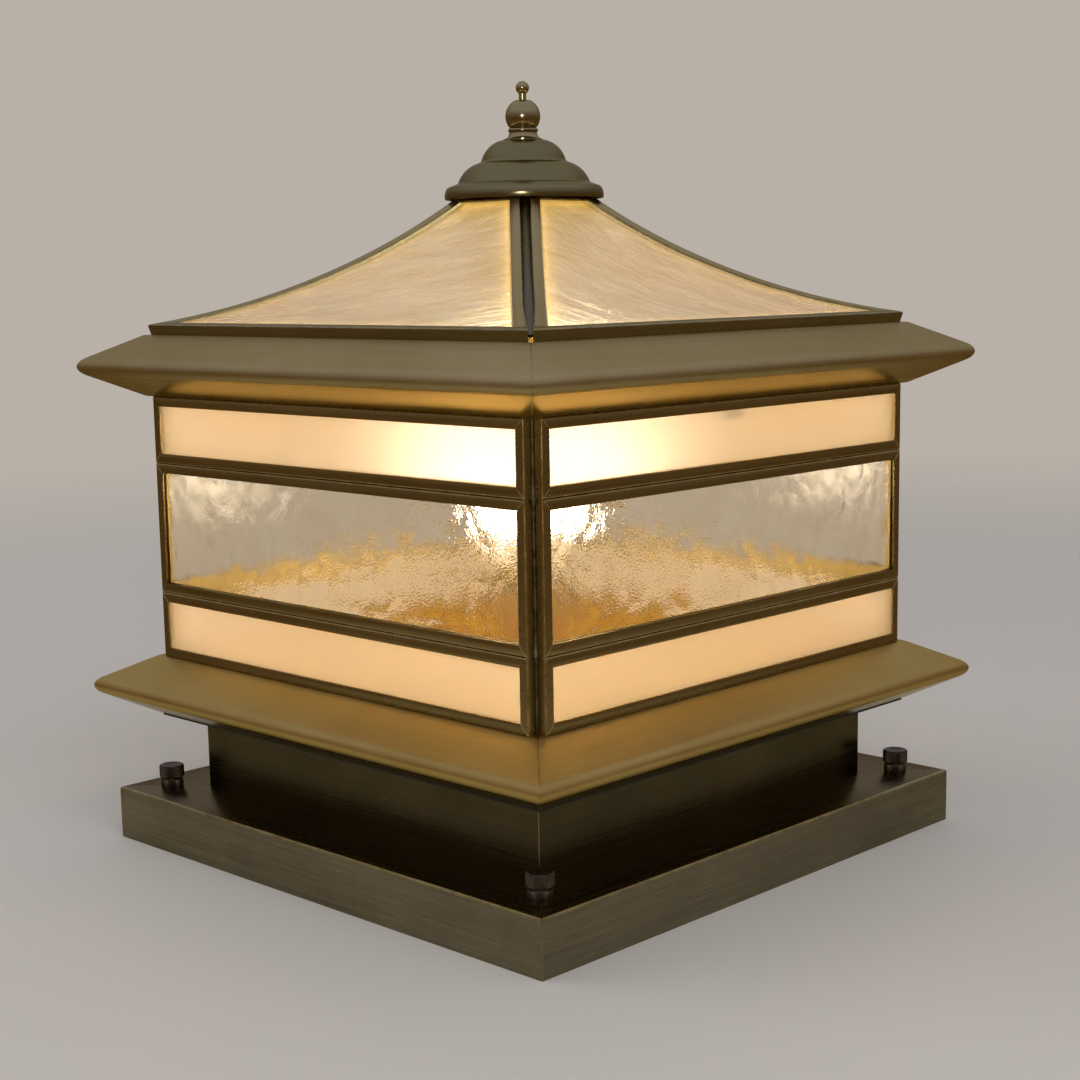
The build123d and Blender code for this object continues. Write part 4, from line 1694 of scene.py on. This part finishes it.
@dataclass
class Studio:
    """Pale floor, soft light and the photograph's camera."""

    floor_radius: float = 6.0
    floor_steps: int = 96
    floor_fade: Point = (0.55, 2.2)
    floor_colour: str = "#d3cfcb"
    backdrop_colour: str = "#b9b1a8"
    horizon_colour: str = "#715b40"
    ceiling_colour: str = "#bcbdd7"
    ceiling_height: Point = (-0.05, 0.65)
    mirrored_fade: Point = (0.3, 0.6)
    fill_colour: str = "#f1eeea"
    fill_strength: float = 0.5
    azimuth: float = 44.25
    elevation: float = 9.0
    roll: float = -0.98
    distance: float = 942.6
    target_height: float = 135.82
    target_side: float = 4.6
    focal_pixels: float = 1871.3
    frame_pixels: float = 1080.0
    centre_drop_pixels: float = 27.0
    sensor: float = 36.0

    def floor(self) -> None:
        """Lay a large pale floor that fades out, sooner in mirror images than to the eye."""
        bm = bmesh.new()
        bmesh.ops.create_circle(bm, cap_ends=True, segments=self.floor_steps, radius=self.floor_radius)
        mesh = bpy.data.meshes.new("studio_floor")
        bm.to_mesh(mesh)
        bm.free()
        paint = bpy.data.materials.new("pale_floor_paint")
        tree = bare_tree(paint)
        matt = {"Base Color": linear(self.floor_colour), "Roughness": 0.7}
        shader = add_node(tree, "ShaderNodeBsdfPrincipled", matt).outputs[0]
        place = add_node(tree, "ShaderNodeTexCoord").outputs["Object"]
        away = add_node(tree, "ShaderNodeVectorMath", [place], operation="LENGTH").outputs["Value"]
        fades = []
        for near, far in (self.floor_fade, self.mirrored_fade):
            span = [away, near, far]
            soft = add_node(tree, "ShaderNodeMapRange", span, interpolation_type="SMOOTHSTEP")
            fades.append(soft.outputs[0])
        glossy = add_node(tree, "ShaderNodeLightPath").outputs["Is Glossy Ray"]
        fade = add_node(tree, "ShaderNodeMix", {0: glossy, 2: fades[0], 3: fades[1]}).outputs[0]
        gone = add_node(tree, "ShaderNodeBsdfTransparent").outputs[0]
        mix = add_node(tree, "ShaderNodeMixShader", [fade, shader, gone])
        add_node(tree, "ShaderNodeOutputMaterial", {"Surface": mix.outputs[0]})
        mesh.materials.append(paint)
        floor = bpy.data.objects.new("studio_floor", mesh)
        bpy.context.scene.collection.objects.link(floor)

    def world(self) -> None:
        """Light from all round, with a pale backdrop for the camera and for clear glass."""
        sky = bpy.data.worlds.new("soft_studio")
        tree = bare_tree(sky)
        ways = add_node(tree, "ShaderNodeTexCoord").outputs["Generated"]
        height = add_node(tree, "ShaderNodeSeparateXYZ", [ways]).outputs[2]
        tint = toned(tree, height, self.ceiling_height, self.horizon_colour, self.ceiling_colour)
        kinds = (
            (linear(self.fill_colour), self.fill_strength),
            (linear(self.backdrop_colour), 1.0),
            (tint, 1.0),
        )
        fill, seen, mirrored = (add_node(tree, "ShaderNodeBackground", kind).outputs[0] for kind in kinds)
        path = add_node(tree, "ShaderNodeLightPath").outputs
        first = [path["Is Camera Ray"], path["Is Transmission Ray"]]
        shown = add_node(tree, "ShaderNodeMath", first, operation="MAXIMUM").outputs[0]
        unseen = add_node(tree, "ShaderNodeMixShader", [path["Is Glossy Ray"], fill, mirrored]).outputs[0]
        mix = add_node(tree, "ShaderNodeMixShader", [shown, unseen, seen])
        add_node(tree, "ShaderNodeOutputWorld", {"Surface": mix.outputs[0]})
        bpy.context.scene.world = sky

    def camera(self) -> None:
        """Stand the camera where the photograph was taken from."""
        turn, lift, tilt = (math.radians(angle) for angle in (self.azimuth, self.elevation, self.roll))
        back = Vector((math.sin(turn) * math.cos(lift), -math.cos(turn) * math.cos(lift), math.sin(lift)))
        level = Vector((math.cos(turn), math.sin(turn), 0.0))
        upright = back.cross(level)
        right = level * math.cos(tilt) + upright * math.sin(tilt)
        up = upright * math.cos(tilt) - level * math.sin(tilt)
        target = right * self.target_side + Vector((0.0, 0.0, self.target_height))
        data = bpy.data.cameras.new("photo_camera")
        data.sensor_width = self.sensor
        data.lens = self.focal_pixels / self.frame_pixels * self.sensor
        data.shift_y = self.centre_drop_pixels / self.frame_pixels
        camera = bpy.data.objects.new("photo_camera", data)
        axes = Matrix((right, up, back)).transposed().to_4x4()
        camera.matrix_world = Matrix.Translation((target + back * self.distance) * MM) @ axes
        bpy.context.scene.collection.objects.link(camera)
        bpy.context.scene.camera = camera

    def build(self) -> None:
        """Set up the floor, the light and the camera."""
        self.floor()
        self.world()
        for lamp in LAMPS:
            lamp.hang(Vector((0.0, 0.0, self.target_height * MM)))
        self.camera()
        bpy.context.scene.view_settings.view_transform = "Standard"


def main() -> None:
    """Build the light from its base upwards, then the studio."""
    logging.basicConfig(level=logging.INFO, format="%(message)s")
    wall_half = -node_box("front_lower_frame")[0].y
    SheetBase().build()
    KnurledNuts().build()
    # The lower eave's golden tone is partly a painted sheen.
    EaveMoulding("lower", "base", wall_half, Brass.WARM).build()
    WallPanels().build()
    CornerSeams().build()
    EaveMoulding("upper", "roof", wall_half, Brass.SATIN).build()
    GlassRoof(node_box("upper_eave_front")[1].z).build()
    SpunCap().build()
    TurnedFinial().build()
    Bulb().build()
    dress_inner_works()
    Studio().build()


if __name__ == "__main__":
    main()
